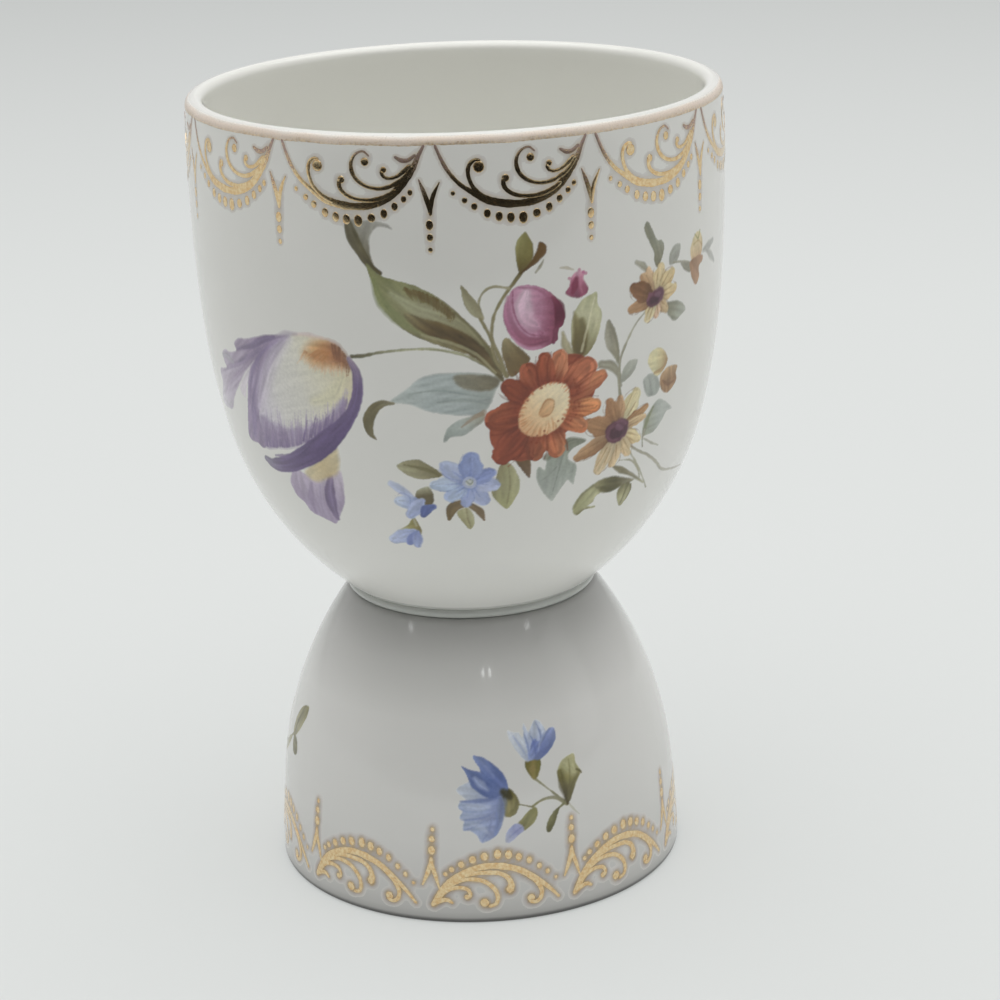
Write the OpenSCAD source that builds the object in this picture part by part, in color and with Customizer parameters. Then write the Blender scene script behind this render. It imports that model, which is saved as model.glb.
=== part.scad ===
// Double egg cup in glazed porcelain. A large bowl and a small bowl are luted bottom to bottom at a
// narrow waist, so either end can hold an egg. Both are gilded at the rim and painted with sprays
// of flowers. Millimetres, +Z up, standing on the small bowl's rim at z = 0, centred on the Z axis,
// with the front of the decoration towards -Y.

/* [Whole cup] */
// Height from the standing rim to the lip
cup_h = 95; // [88:1:108]

/* [Large bowl] */
// Outside radius at the widest part, the belly
belly_r = 31.1; // [28:0.1:34]
// Drop from the lip to the belly
belly_drop = 10.2; // [7:0.1:14]
// Radius of the nearly straight arc through the belly
bowl_side_arc_r = 188; // [140:1:260]
// Drop from the belly to where the wall starts to turn in
bowl_turn_drop = 15.3; // [11:0.1:18]
// Radius of the arc where the wall turns in
bowl_turn_arc_r = 83; // [65:1:110]
// Drop from the belly to where the rounded bottom starts
bowl_round_drop = 28.6; // [25:0.1:32]
// Radius of the seat under the large bowl
bowl_seat_r = 15.2; // [13:0.1:17]
// Wall thickness of the large bowl
bowl_wall = 2.1; // [1.6:0.1:3]
// Thickness of the large bowl's floor
bowl_floor = 3.6; // [2.5:0.1:5]
// Radius between the large bowl's wall and its floor, inside
bowl_corner_r = 12; // [8:0.5:15]

/* [Small bowl, the foot] */
// Height of the small bowl
foot_h = 34.6; // [31:0.1:38]
// Outside radius at the standing rim
foot_rim_r = 24.7; // [22:0.1:27]
// Radius of the nearly straight arc above the rim
foot_side_arc_r = 190; // [140:1:260]
// Depth below the rim at which that arc would stand upright
foot_side_drop = 5.5; // [3:0.1:8]
// Height at which the wall starts to turn in
foot_turn_z = 10.5; // [8:0.1:13]
// Radius of the seat on top of the small bowl
foot_seat_r = 14.9; // [13:0.1:17]
// Wall thickness of the small bowl
foot_wall = 2.1; // [1.6:0.1:3]
// Thickness between the small bowl's hollow and the waist
foot_floor = 3.6; // [2.5:0.1:5]
// Radius between the small bowl's wall and its floor, inside
foot_corner_r = 9; // [7:0.5:11]
// Edge radius of the standing rim
rim_round = 0.5; // [0.3:0.1:0.8]

/* [Waist] */
// Thickness of the slip that joins the two bowls
slip_t = 1.3; // [0.8:0.1:2]
// Outside radius of the slip, wiped round to a bead
slip_r = 15.1; // [14:0.1:16]

/* [Gilding] */
// Thickness of the gilding
gilt_t = 0.1; // [0.06:0.01:0.2]
// Height of the gilt line round the lip
lip_line_h = 1; // [0.6:0.1:1.6]
// Number of festoons round the large bowl
bowl_festoons = 11; // [9:1:12]
// Number of festoons round the small bowl
foot_festoons = 9; // [7:1:10]
// Depth of one festoon
festoon_depth = 7.2; // [6:0.1:9]
// Broadest brush line of a festoon
festoon_line_w = 0.9; // [0.6:0.05:1.2]
// Gap between a festoon's arc and the middle of its beads
bead_gap = 1.4; // [1.2:0.1:2]
// Number of beads under one festoon
festoon_beads = 12; // [8:1:14]
// Radius of the largest bead
bead_r = 0.52; // [0.35:0.01:0.6]
// Drop from the festoon's top to the point of a pendant
pendant_drop = 7.6; // [6.5:0.1:9]
// Width over the two prongs of a pendant
pendant_w = 2.1; // [1.6:0.1:2.6]
// Height of the two prongs of a pendant
pendant_h = 3.9; // [3:0.1:5]
// Distance between the beads that hang from a pendant
pendant_bead_step = 1.4; // [1.2:0.1:1.8]
// Height of the small bowl's festoon ends above the standing rim
foot_border_z = 2.2; // [1.5:0.1:4]

/* [Painted flowers] */
// Thickness of the fired enamel
enamel_t = 0.08; // [0.05:0.01:0.15]
// Drop from the lip to the middle of the sprays on the large bowl
spray_drop = 32; // [30:0.5:34]
// Width over the front spray, which also spaces its flowers
spray_w = 70; // [66:1:74]
// Length of the tulip
tulip_l = 19; // [15:0.5:22]
// Radius of the red flower
red_flower_r = 7.4; // [6:0.1:8.5]
// Radius of the daisies
daisy_r = 4.6; // [3.5:0.1:5.5]
// Radius of the forget-me-not
small_flower_r = 3.4; // [2.5:0.1:4]
// Length of the rosebud
bud_l = 7.4; // [6:0.1:9]
// Length of the longest leaf
long_leaf_l = 18; // [14:0.5:20]
// Width of a leaf
leaf_w = 4; // [3:0.1:5]
// Width of a stem
stem_w = 0.45; // [0.3:0.05:0.7]
// Length of a cornflower on the foot
cornflower_l = 8.5; // [7:0.1:10]
// Number of sprays round the foot
foot_sprays = 3; // [1:1:3]

/* [Hidden] */
// Facets of a full circle where it is drawn as facets: most rounds, small ones, and arcs of which
// a short stretch shows
$fn = 240;
small_round_facets = 48;
long_arc_facets = 720;

full_turn = 360;

// How far an arc of an outline runs on past the place where the next one touches it, and how far
// the rounds of the lip and the rim stand out of the wall, so that each seam is a clean edge
arc_lap = 0.5;
seam_step = 0.002;

// Heights of the seats and of the belly
bowl_seat_z = foot_h + slip_t;
belly_z = cup_h - belly_drop;
bowl_h = cup_h - bowl_seat_z;

// An arc of an outline is [radius of its centre, height of its centre, arc radius].
function arc_x(arc, z) = arc[0] + sqrt(arc[2] * arc[2] - (z - arc[1]) * (z - arc[1]));
// Slope of the outline's normal at a height, as [outwards, upwards]
function arc_n(arc, z) = [(arc_x(arc, z) - arc[0]) / arc[2], (z - arc[1]) / arc[2]];
// An arc of radius r that carries on smoothly from another at height z
function next_arc(arc, z, r) =
    let (n = arc_n(arc, z)) [arc_x(arc, z) - r * n[0], z - r * n[1], r];
// The arc that carries on smoothly from another at height z and ends at [end_x, end_z]
function last_arc(arc, z, end_x, end_z) =
    let (n = arc_n(arc, z), d = [end_x - arc_x(arc, z), end_z - z],
         r = -(d * d) / (2 * (d * n))) next_arc(arc, z, r);
// The same arc moved out by t along its normals
function grown(arc, t) = [arc[0], arc[1], arc[2] + t];

// Outline of the large bowl, from the lip down
bowl_turn_z = belly_z - bowl_turn_drop;
bowl_round_z = belly_z - bowl_round_drop;
bowl_side = [belly_r - bowl_side_arc_r, belly_z, bowl_side_arc_r];
bowl_turn = next_arc(bowl_side, bowl_turn_z, bowl_turn_arc_r);
bowl_round = last_arc(bowl_turn, bowl_round_z, bowl_seat_r, bowl_seat_z);

// Outline of the small bowl, from the rim up
foot_side = let (c = -foot_side_drop, r = foot_side_arc_r)
    [foot_rim_r - sqrt(r * r - c * c), c, r];
foot_turn = last_arc(foot_side, foot_turn_z, foot_seat_r, foot_h);

// Lip and standing rim: the wall's end is rounded between its outer and inner radius
lip_c_z = cup_h - bowl_wall / 2 - seam_step;
lip_out_r = arc_x(bowl_side, lip_c_z);
lip_in_r = arc_x(grown(bowl_side, -bowl_wall), lip_c_z);
lip_c_r = (lip_out_r + lip_in_r) / 2;
lip_round = (lip_out_r - lip_in_r) / 2 + seam_step;

// Inside corners: centre and meeting height of a corner of radius r between a wall and a floor.
// side is 1 for a floor under the hollow and -1 for one above it.
function corner_z(floor_z, r, side) = floor_z + side * r;
function corner_x(wall, floor_z, r, side) =
    let (a = wall[2] - r, b = corner_z(floor_z, r, side) - wall[1]) wall[0] + sqrt(a * a - b * b);
function meet_z(wall, floor_z, r, side) =
    wall[1] + wall[2] * (corner_z(floor_z, r, side) - wall[1]) / (wall[2] - r);

bowl_floor_z = bowl_seat_z + bowl_floor;
bowl_in = grown(bowl_round, -bowl_wall);
bowl_corner_x = corner_x(bowl_in, bowl_floor_z, bowl_corner_r, 1);
bowl_meet_z = meet_z(bowl_in, bowl_floor_z, bowl_corner_r, 1);
foot_roof_z = foot_h - foot_floor;
foot_in = grown(foot_turn, -foot_wall);
foot_corner_x = corner_x(foot_in, foot_roof_z, foot_corner_r, -1);
foot_meet_z = meet_z(foot_in, foot_roof_z, foot_corner_r, -1);

// Everything to the axis side of an arc between two heights
module slice(arc, low_z, high_z) {
    intersection() {
        translate([arc[0], arc[1]]) circle(r = arc[2], $fn = long_arc_facets);
        translate([0, low_z]) square([2 * belly_r, high_z - low_z]);
    }
}
// The large bowl's outline moved out by t, filled to the axis, between two heights
module bowl_outline(t, low_z, high_z) {
    turn_z = bowl_turn_z - arc_lap;
    round_z = bowl_round_z - arc_lap;
    if (high_z > turn_z) slice(grown(bowl_side, t), max(low_z, turn_z), high_z);
    if (low_z < turn_z && high_z > round_z)
        slice(grown(bowl_turn, t), max(low_z, round_z), min(high_z, turn_z));
    if (low_z < round_z) slice(grown(bowl_round, t), low_z, min(high_z, round_z));
}
// The small bowl's outline moved out by t, filled to the axis, between two heights
module foot_outline(t, low_z, high_z) {
    turn_z = foot_turn_z + arc_lap;
    if (high_z > turn_z) slice(grown(foot_turn, t), max(low_z, turn_z), high_z);
    if (low_z < turn_z) slice(grown(foot_side, t), low_z, min(high_z, turn_z));
}
// Filled corner between a wall and a floor
module corner_fill(x, r, floor_z, end_z) {
    low = min(floor_z, end_z);
    high = max(floor_z, end_z);
    translate([0, low]) square([x, high - low]);
    intersection() {
        translate([x, floor_z + sign(end_z - floor_z) * r]) circle(r = r);
        translate([x, low]) square([r, high - low]);
    }
}

// Bodies of the cup
module egg_bowl() {
    color("ghostwhite") rotate_extrude() {
        difference() {
            bowl_outline(0, bowl_seat_z, lip_c_z);
            bowl_outline(-bowl_wall, bowl_meet_z - arc_lap, lip_c_z);
            corner_fill(bowl_corner_x, bowl_corner_r, bowl_floor_z, bowl_meet_z - arc_lap);
        }
        translate([lip_c_r, lip_c_z]) circle(r = lip_round);
    }
}
module foot_bowl() {
    rim_out = arc_x(foot_side, rim_round) - rim_round + seam_step;
    rim_in = arc_x(grown(foot_side, -foot_wall), rim_round) + rim_round - seam_step;
    color("whitesmoke") rotate_extrude() {
        difference() {
            foot_outline(0, rim_round, foot_h);
            foot_outline(-foot_wall, rim_round, foot_meet_z + arc_lap);
            corner_fill(foot_corner_x, foot_corner_r, foot_roof_z, foot_meet_z + arc_lap);
        }
        translate([rim_in, 0]) square([rim_out - rim_in, 2 * rim_round]);
        for (r = [rim_in, rim_out]) translate([r, rim_round]) circle(r = rim_round);
    }
}
module luting_slip() {
    color("gainsboro") rotate_extrude() {
        translate([0, foot_h]) square([slip_r - slip_t / 2, slip_t]);
        translate([slip_r - slip_t / 2, foot_h + slip_t / 2]) circle(r = slip_t / 2);
    }
}

// Thin layers that lie on the outside of the bowls, between two heights. A layer runs an angle of
// width round the cup, with its middle at the front.
module bowl_layer(t, low_z, high_z, width) {
    rotate([0, 0, -90 - width / 2]) rotate_extrude(angle = width) difference() {
        bowl_outline(t, low_z, high_z);
        bowl_outline(0, low_z, high_z);
    }
}
module foot_layer(t, low_z, high_z, width) {
    rotate([0, 0, -90 - width / 2]) rotate_extrude(angle = width) difference() {
        foot_outline(t, low_z, high_z);
        foot_outline(0, low_z, high_z);
    }
}
// A flat drawing pushed straight out through the wall at a turn about the axis and a height
module on_wall(turn, z) {
    rotate([0, 0, turn]) translate([0, -foot_seat_r, z]) rotate([90, 0, 0])
        linear_extrude(height = belly_r) children();
}

// Gilt line round the outer edge of the lip
module lip_gilding() {
    color("goldenrod") rotate_extrude() intersection() {
        difference() {
            union() {
                bowl_outline(gilt_t, lip_c_z - lip_line_h, lip_c_z);
                translate([lip_c_r, lip_c_z]) circle(r = lip_round + gilt_t);
            }
            bowl_outline(0, lip_c_z - lip_line_h, lip_c_z);
            translate([lip_c_r, lip_c_z]) circle(r = lip_round);
        }
        translate([lip_c_r, lip_c_z - lip_line_h / 2]) square([bowl_wall, lip_line_h]);
    }
}

// Brush strokes of one festoon, each swelling from nothing to its full width and back. A stroke is
// [x, y of its start, x, y of its end, bulge, width]: x is a share of the festoon's width from its
// middle, y and bulge are shares of its depth, and width is a share of the broadest stroke.
stroke_shares = [[-0.47, -0.04, 0.47, -0.04, 0.96, 1],
                 [-0.21, -0.3, 0.02, -0.93, 0.3, 0.65],
                 [-0.05, -0.58, 0.27, -0.77, 0.26, 0.7],
                 [0.13, -0.21, 0.38, -0.47, 0.5, 0.6],
                 [0.22, -0.4, 0.42, -0.34, 0.2, 0.5]];
// Balls at the ends of the curls: x, y and radius, the last a share of the broadest stroke
ball_shares = [[-0.2, -0.4, 0.68], [-0.04, -0.63, 0.42], [0.14, -0.26, 0.42], [0.23, -0.44, 0.4]];
// How far the row of beads reaches to each side, how far its ends rise, and the smallest bead
bead_reach_share = 0.385;
bead_rise_share = 0.44;
bead_least_share = 0.5;
// Sizes of the beads that hang from a pendant, and the place of the first one as a share of their step
pendant_bead_shares = [0.85, 0.75, 0.55];
pendant_bead_start_share = 0.6;
// Height of the layer that a motif is cut from, as a share of the motif's own depth
motif_room_share = 1.1;

// The crescent between two arcs that both end at p and q and bulge to the right on the way
module crescent(p, q, bulge, width) {
    d = q - p;
    half = norm(d) / 2;
    translate((p + q) / 2) rotate(atan2(d[1], d[0])) difference() {
        bulging_circle(half, bulge);
        bulging_circle(half, bulge - width);
    }
}
module bulging_circle(half, bulge) {
    r = (half * half + bulge * bulge) / (2 * bulge);
    translate([0, r - bulge]) circle(r = r, $fn = long_arc_facets);
}
module festoon(w) {
    for (s = stroke_shares)
        crescent([s[0] * w, s[1] * festoon_depth], [s[2] * w, s[3] * festoon_depth],
                 s[4] * festoon_depth, s[5] * festoon_line_w);
    for (b = ball_shares)
        translate([b[0] * w, b[1] * festoon_depth])
            circle(r = b[2] * festoon_line_w, $fn = small_round_facets);
}
module prong(side) {
    top = pendant_h - pendant_drop;
    polygon([[side * pendant_w / 2, top],
             [side * (pendant_w - festoon_line_w) / 2, top],
             [0, -pendant_drop],
             [side * festoon_line_w / 2, top - pendant_h / 2]]);
}

// Round the large bowl the motif hangs from the lip, round the small one it stands on its head.
bowl_border_z = lip_c_z - lip_line_h / 2;
bowl_step = full_turn / bowl_festoons;
foot_step = full_turn / foot_festoons;
bowl_repeat_w = 2 * PI * belly_r / bowl_festoons;
foot_repeat_w = 2 * PI * foot_rim_r / foot_festoons;
// Turns about the axis of the pendants nearest the front, and of the festoons beside them
bowl_pendant_turn = -6;
foot_pendant_turn = 26;
bowl_festoon_turn = bowl_pendant_turn + bowl_step / 2;
foot_festoon_turn = foot_pendant_turn + foot_step / 2;

module round_bowl(first_turn, reach) {
    for (i = [0:bowl_festoons - 1]) rotate([0, 0, first_turn + i * bowl_step]) intersection() {
        bowl_layer(gilt_t, bowl_border_z - reach, bowl_border_z, bowl_step);
        on_wall(0, bowl_border_z) children();
    }
}
module round_foot(first_turn, reach) {
    for (i = [0:foot_festoons - 1]) rotate([0, 0, first_turn + i * foot_step]) intersection() {
        foot_layer(gilt_t, foot_border_z, foot_border_z + reach, foot_step);
        on_wall(0, foot_border_z) rotate(180) children();
    }
}
// A flat gilt disc laid on the wall whose outline there is arc
module bead(arc, turn, z, r) {
    n = arc_n(arc, z);
    rotate([0, 0, turn]) translate([0, -arc_x(arc, z), z]) rotate([atan2(n[0], n[1]), 0, 0])
        cylinder(r = r, h = gilt_t, $fn = small_round_facets);
}
function bowl_arc(z) = z > bowl_turn_z - arc_lap ? bowl_side
    : z > bowl_round_z - arc_lap ? bowl_turn : bowl_round;
function foot_arc(z) = z > foot_turn_z + arc_lap ? foot_turn : foot_side;
module festoon_bead_row(on_foot, mid_turn) {
    last = festoon_beads - 1;
    step = on_foot ? -foot_step : bowl_step;
    for (i = [0:last]) {
        u = 2 * i / last - 1;
        drop = festoon_depth + bead_gap - bead_rise_share * festoon_depth * u * u;
        z = on_foot ? foot_border_z + drop : bowl_border_z - drop;
        bead(on_foot ? foot_arc(z) : bowl_arc(z), mid_turn + u * bead_reach_share * step, z,
             bead_r * (1 - (1 - bead_least_share) * abs(u)));
    }
}
module pendant_bead_row(on_foot, turn) {
    for (i = [0:len(pendant_bead_shares) - 1]) {
        drop = pendant_drop + (i + pendant_bead_start_share) * pendant_bead_step;
        z = on_foot ? foot_border_z + drop : bowl_border_z - drop;
        bead(on_foot ? foot_arc(z) : bowl_arc(z), turn, z, bead_r * pendant_bead_shares[i]);
    }
}
module bowl_gilt_festoons() {
    color("gold") round_bowl(bowl_festoon_turn, motif_room_share * festoon_depth)
        festoon(bowl_repeat_w);
}
module bowl_gilt_beads() {
    color("gold") for (i = [0:bowl_festoons - 1])
        festoon_bead_row(false, bowl_festoon_turn + i * bowl_step);
}
module bowl_gilt_pendants() {
    color("gold") {
        round_bowl(bowl_pendant_turn, motif_room_share * pendant_drop)
            for (side = [-1, 1]) prong(side);
        for (i = [0:bowl_festoons - 1]) pendant_bead_row(false, bowl_pendant_turn + i * bowl_step);
    }
}
module foot_gilt_festoons() {
    color("gold") round_foot(foot_festoon_turn, motif_room_share * festoon_depth)
        festoon(foot_repeat_w);
}
module foot_gilt_beads() {
    color("gold") for (i = [0:foot_festoons - 1])
        festoon_bead_row(true, foot_festoon_turn + i * foot_step);
}
module foot_gilt_pendants() {
    color("gold") {
        round_foot(foot_pendant_turn, motif_room_share * pendant_drop)
            for (side = [-1, 1]) prong(side);
        for (i = [0:foot_festoons - 1]) pendant_bead_row(true, foot_pendant_turn + i * foot_step);
    }
}

// Painted flowers. A pointed petal or leaf starts at the origin and points to +x.
module petal(l, w) {
    r = (l * l + w * w) / (4 * w);
    translate([l / 2, 0]) intersection_for (side = [-1, 1])
        translate([0, side * (r - w / 2)]) circle(r = r, $fn = long_arc_facets);
}
// Petals from a table of [x, y, heading, length, width], lengths as shares of size
module petals(shares, size) {
    for (s = shares) translate([s[0] * size, s[1] * size]) rotate(s[2])
        petal(s[3] * size, s[4] * size);
}
module round_flower(count, r, petal_share) {
    for (i = [0:count - 1]) rotate(i * full_turn / count)
        translate([r * (1 - petal_share), 0]) circle(r = r * petal_share);
    circle(r = r * (1 - petal_share));
}
module pointed_flower(count, r, width_share) {
    for (i = [0:count - 1]) rotate(i * full_turn / count) petal(r, r * width_share);
    circle(r = r * width_share);
}
// A drawing on the large bowl. place starts with two shares of the spray's width: how far round to
// the right of the spray's middle, and how far up. The middle is at middle_turn about the axis.
module on_bowl(place, middle_turn = 0) {
    on_wall(middle_turn + place[0] * spray_w / belly_r * full_turn / (2 * PI),
            cup_h - spray_drop + place[1] * spray_w) children();
}
// The band of the large bowl that holds the flowers, from a share of its height above the seat up
// to just under the border's beads
flower_low_share = 0.12;
flower_low_z = bowl_seat_z + flower_low_share * bowl_h;
flower_high_z = bowl_border_z - festoon_depth - bead_gap - bead_r;
module painted() {
    intersection() {
        bowl_layer(enamel_t, flower_low_z, flower_high_z, full_turn);
        union() children();
    }
}

// Flowers of the front bouquet: places, petals, and widths of petals as shares of the flower's radius
red_petals = 11;
red_petal_share = 0.3;
small_petals = 6;
small_petal_share = 0.36;
daisy_petal_share = 0.42;
tulip_place_shares = [-0.3, 0.03];
tulip_shares = [[0.37, 0.34, 220, 1.06, 0.68], [0.08, 0.39, 213, 1.12, 0.22],
                [0.03, 0.37, 236, 0.89, 0.26], [0.44, 0.2, 226, 1.02, 0.28],
                [0.13, -0.3, 279, 0.53, 0.34]];
rosebud_place_shares = [0.12, 0.17];
rosebud_shares = [[-0.06, -0.5, 95, 1, 0.68], [0.1, -0.48, 82, 0.9, 0.6]];
red_flower_place_shares = [0.13, 0.01];
small_flower_place_shares = [0, -0.1];
small_flower_bud_shares = [[-0.1, -0.13], [-0.12, -0.21]];
small_bud_share = 0.42;
// Daisies are their place and the number of their petals.
daisy_shares = [[0.28, -0.05, 8], [0.34, 0.16, 7]];
daisy_bud_shares = [[0.45, 0.2], [0.37, 0.04]];
daisy_bud_share = 0.33;
// Leaves and stems are their place, heading and length, and a leaf's width comes last, the lengths
// as shares of the longest leaf and the widths as shares of a leaf's.
leaf_shares = [[-0.15, 0.25, -38, 1.02, 1.3], [-0.12, 0.09, -2, 0.62, 1.1],
               [-0.16, -0.02, 62, 0.24, 0.35], [0.16, 0.13, 66, 0.36, 0.85],
               [0.22, 0.05, 100, 0.4, 0.5], [0.33, -0.08, 20, 0.32, 0.8],
               [0.16, -0.08, -85, 0.32, 0.9], [0.06, -0.11, -100, 0.26, 0.8],
               [-0.11, -0.08, -12, 0.24, 0.65], [0.19, -0.18, 28, 0.42, 0.6],
               [0.26, -0.14, -55, 0.22, 0.5], [0.32, 0.25, -60, 0.26, 0.6],
               [0.48, 0.2, 10, 0.22, 0.4], [0.09, 0.25, 80, 0.22, 0.6], [0, 0.18, -50, 0.2, 0.5]];
stem_shares = [[-0.21, 0.12, 8, 0.9], [0.26, 0.08, 58, 0.34], [0.29, -0.11, -30, 0.8],
               [0.06, 0.13, 80, 0.36]];

module tulip() on_bowl(tulip_place_shares) petals(tulip_shares, tulip_l);
module rosebud() on_bowl(rosebud_place_shares) petals(rosebud_shares, bud_l);
module red_flower()
    on_bowl(red_flower_place_shares) round_flower(red_petals, red_flower_r, red_petal_share);
module daisies() {
    for (d = daisy_shares) on_bowl(d) pointed_flower(d[2], daisy_r, daisy_petal_share);
    for (b = daisy_bud_shares) on_bowl(b) circle(r = daisy_r * daisy_bud_share);
}
module forget_me_nots() {
    on_bowl(small_flower_place_shares)
        round_flower(small_petals, small_flower_r, small_petal_share);
    for (b = small_flower_bud_shares) on_bowl(b) circle(r = small_flower_r * small_bud_share);
}
module leaves() {
    for (s = leaf_shares) on_bowl(s) rotate(s[2]) petal(s[3] * long_leaf_l, s[4] * leaf_w);
    for (s = stem_shares) on_bowl(s) rotate(s[2]) petal(s[3] * long_leaf_l, stem_w);
}
module tulip_enamel() color("mediumpurple") painted() tulip();
module red_flower_enamel() color("orangered") painted() red_flower();
module rosebud_enamel() color("mediumvioletred") painted() difference() {
    rosebud();
    red_flower();
}
module daisy_enamel() color("burlywood") painted() difference() {
    daisies();
    red_flower();
}
module forget_me_not_enamel() color("cornflowerblue") painted() difference() {
    forget_me_nots();
    red_flower();
}
module bouquet_leaf_enamel() color("olivedrab") painted() difference() {
    leaves();
    tulip();
    red_flower();
    rosebud();
    daisies();
    forget_me_nots();
}

// The smaller spray on the back of the large bowl: one round flower, two small ones and two leaves
back_turn = 180;
back_flower_place_shares = [-0.02, 0.04];
back_petals = 9;
back_small_flower_shares = [[0.16, -0.03], [-0.16, 0.09]];
back_leaf_shares = [[0.09, 0.12, 40, 0.5], [-0.11, -0.03, 215, 0.5]];
module back_spray_enamel() color("palevioletred") painted() {
    on_bowl(back_flower_place_shares, back_turn)
        round_flower(back_petals, red_flower_r, red_petal_share);
    for (s = back_small_flower_shares)
        on_bowl(s, back_turn) round_flower(small_petals, small_flower_r, small_petal_share);
    for (s = back_leaf_shares)
        on_bowl(s, back_turn) rotate(s[2]) petal(s[3] * long_leaf_l, leaf_w);
}

// A spray on the small bowl. Its flowers, leaves and stems are [turn, height above the place where
// the wall turns in, heading, length, width], with heights and lengths as shares of a cornflower
// and leaves' widths as shares of a leaf's. Petals are shares of the cornflower's length.
cornflower_shares = [[0.35, -0.02, 182, 0.85, 0.3], [0.35, 0.02, 152, 0.9, 0.3],
                     [0.35, 0.05, 122, 0.8, 0.3], [0.35, -0.05, 212, 0.85, 0.3],
                     [0.35, -0.08, 242, 0.75, 0.3]];
foot_flower_shares = [[2, 0.5, 0, 1], [18, 1.2, -70, 0.7]];
foot_leaf_shares = [[25, 0.33, 75, 0.65, 0.8], [22, 0.33, -120, 0.4, 0.4]];
foot_stem_shares = [[25, 0.33, 170, 0.8], [25, 0.33, 136, 0.8]];
module on_foot(place) {
    for (i = [0:foot_sprays - 1])
        on_wall(place[0] + i * full_turn / foot_sprays, foot_turn_z + place[1] * cornflower_l)
            rotate(place[2]) children();
}
module foot_painted() {
    intersection() {
        foot_layer(enamel_t, foot_turn_z, foot_roof_z - foot_floor, full_turn);
        union() children();
    }
}
module cornflowers() {
    for (s = foot_flower_shares) on_foot(s) petals(cornflower_shares, s[3] * cornflower_l);
}
module foot_leaves() {
    for (s = foot_leaf_shares) on_foot(s) petal(s[3] * cornflower_l, s[4] * leaf_w);
    for (s = foot_stem_shares) on_foot(s) petal(s[3] * cornflower_l, stem_w);
}
module cornflower_enamel() color("royalblue") foot_painted() cornflowers();
module foot_leaf_enamel() color("olivedrab") foot_painted() difference() {
    foot_leaves();
    cornflowers();
}

egg_bowl();
foot_bowl();
luting_slip();
lip_gilding();
bowl_gilt_festoons();
bowl_gilt_beads();
bowl_gilt_pendants();
foot_gilt_festoons();
foot_gilt_beads();
foot_gilt_pendants();
tulip_enamel();
red_flower_enamel();
rosebud_enamel();
daisy_enamel();
forget_me_not_enamel();
bouquet_leaf_enamel();
back_spray_enamel();
cornflower_enamel();
foot_leaf_enamel();
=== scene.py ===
"""Looks of a double egg cup: glazed porcelain, gilt festoon borders and painted flower sprays, built
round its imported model. Sizes are in millimetres and become metres where a mesh is made. +Z is up and
the front of the decoration faces -Y."""

import math

import bpy
import numpy as np
from mathutils import Matrix, Vector


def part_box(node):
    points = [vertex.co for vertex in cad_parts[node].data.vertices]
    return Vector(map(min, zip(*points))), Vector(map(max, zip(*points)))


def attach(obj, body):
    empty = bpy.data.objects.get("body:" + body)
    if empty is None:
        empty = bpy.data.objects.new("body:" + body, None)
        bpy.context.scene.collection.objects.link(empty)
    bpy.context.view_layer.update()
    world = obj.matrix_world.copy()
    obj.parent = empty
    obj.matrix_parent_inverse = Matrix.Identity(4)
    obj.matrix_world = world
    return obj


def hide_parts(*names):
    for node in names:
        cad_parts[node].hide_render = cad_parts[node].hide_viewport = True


MM = 0.001

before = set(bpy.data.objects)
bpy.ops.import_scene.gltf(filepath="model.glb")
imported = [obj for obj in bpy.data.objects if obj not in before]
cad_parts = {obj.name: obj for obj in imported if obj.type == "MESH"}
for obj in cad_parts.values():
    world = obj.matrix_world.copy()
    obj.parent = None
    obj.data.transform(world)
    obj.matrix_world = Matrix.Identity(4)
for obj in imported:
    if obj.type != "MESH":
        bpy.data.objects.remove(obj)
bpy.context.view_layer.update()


def node_size(node, corner, axis):
    """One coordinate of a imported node's box, in millimetres."""
    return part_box(node)[corner][axis] / MM


# Large bowl, as built: three arcs from the lip down to the seat
CUP_H = node_size("egg_bowl", 1, 2)
BOWL_SEAT_Z = node_size("egg_bowl", 0, 2)
BELLY_R = node_size("egg_bowl", 1, 0)
BELLY_DROP = 10.2
BOWL_SIDE_ARC_R = 188
BOWL_TURN_DROP = 15.3
BOWL_TURN_ARC_R = 83
BOWL_ROUND_DROP = 28.6
BOWL_SEAT_R = 15.2
BOWL_WALL = 2.1
BOWL_FLOOR = 3.6
BOWL_CORNER_R = 12

# Small bowl: two arcs from the standing rim up to its seat
FOOT_H = node_size("foot_bowl", 1, 2)
FOOT_RIM_R = 24.7
FOOT_SIDE_ARC_R = 190
FOOT_SIDE_DROP = 5.5
FOOT_TURN_Z = 10.5
FOOT_SEAT_R = 14.9
FOOT_WALL = 2.1
FOOT_FLOOR = 3.6
FOOT_CORNER_R = 9
RIM_ROUND = 0.5

# Slip between the two seats, wiped round to a bead
SLIP_R = node_size("luting_slip", 1, 0)
SLIP_T = node_size("luting_slip", 1, 2) - node_size("luting_slip", 0, 2)

# Steps of a turned shape: round the axis, and along its outline
TURN_STEPS = 288
OUTLINE_STEP = 0.6


# Colours, node trees and meshes


def colour(code):
    """A six-digit sRGB colour as linear RGBA."""
    values = [int(code[i : i + 2], 16) / 255 for i in (1, 3, 5)]
    return [v / 12.92 if v <= 0.04045 else ((v + 0.055) / 1.055) ** 2.4 for v in values] + [1.0]


def add(tree, kind, inputs=(), **settings):
    """Adds a node. inputs maps a socket's name or number to a value or to the socket linked to it."""
    made = tree.nodes.new(kind)
    for name, value in settings.items():
        setattr(made, name, value)
    for key, value in dict(inputs).items():
        socket = made.inputs[key]
        if isinstance(value, bpy.types.NodeSocket):
            tree.links.new(value, socket)
        else:
            socket.default_value = value
    return made


def new_material(name):
    """A material without nodes, and its node tree."""
    material = bpy.data.materials.new(name)
    material.use_nodes = True
    material.node_tree.nodes.clear()
    return material, material.node_tree


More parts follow.
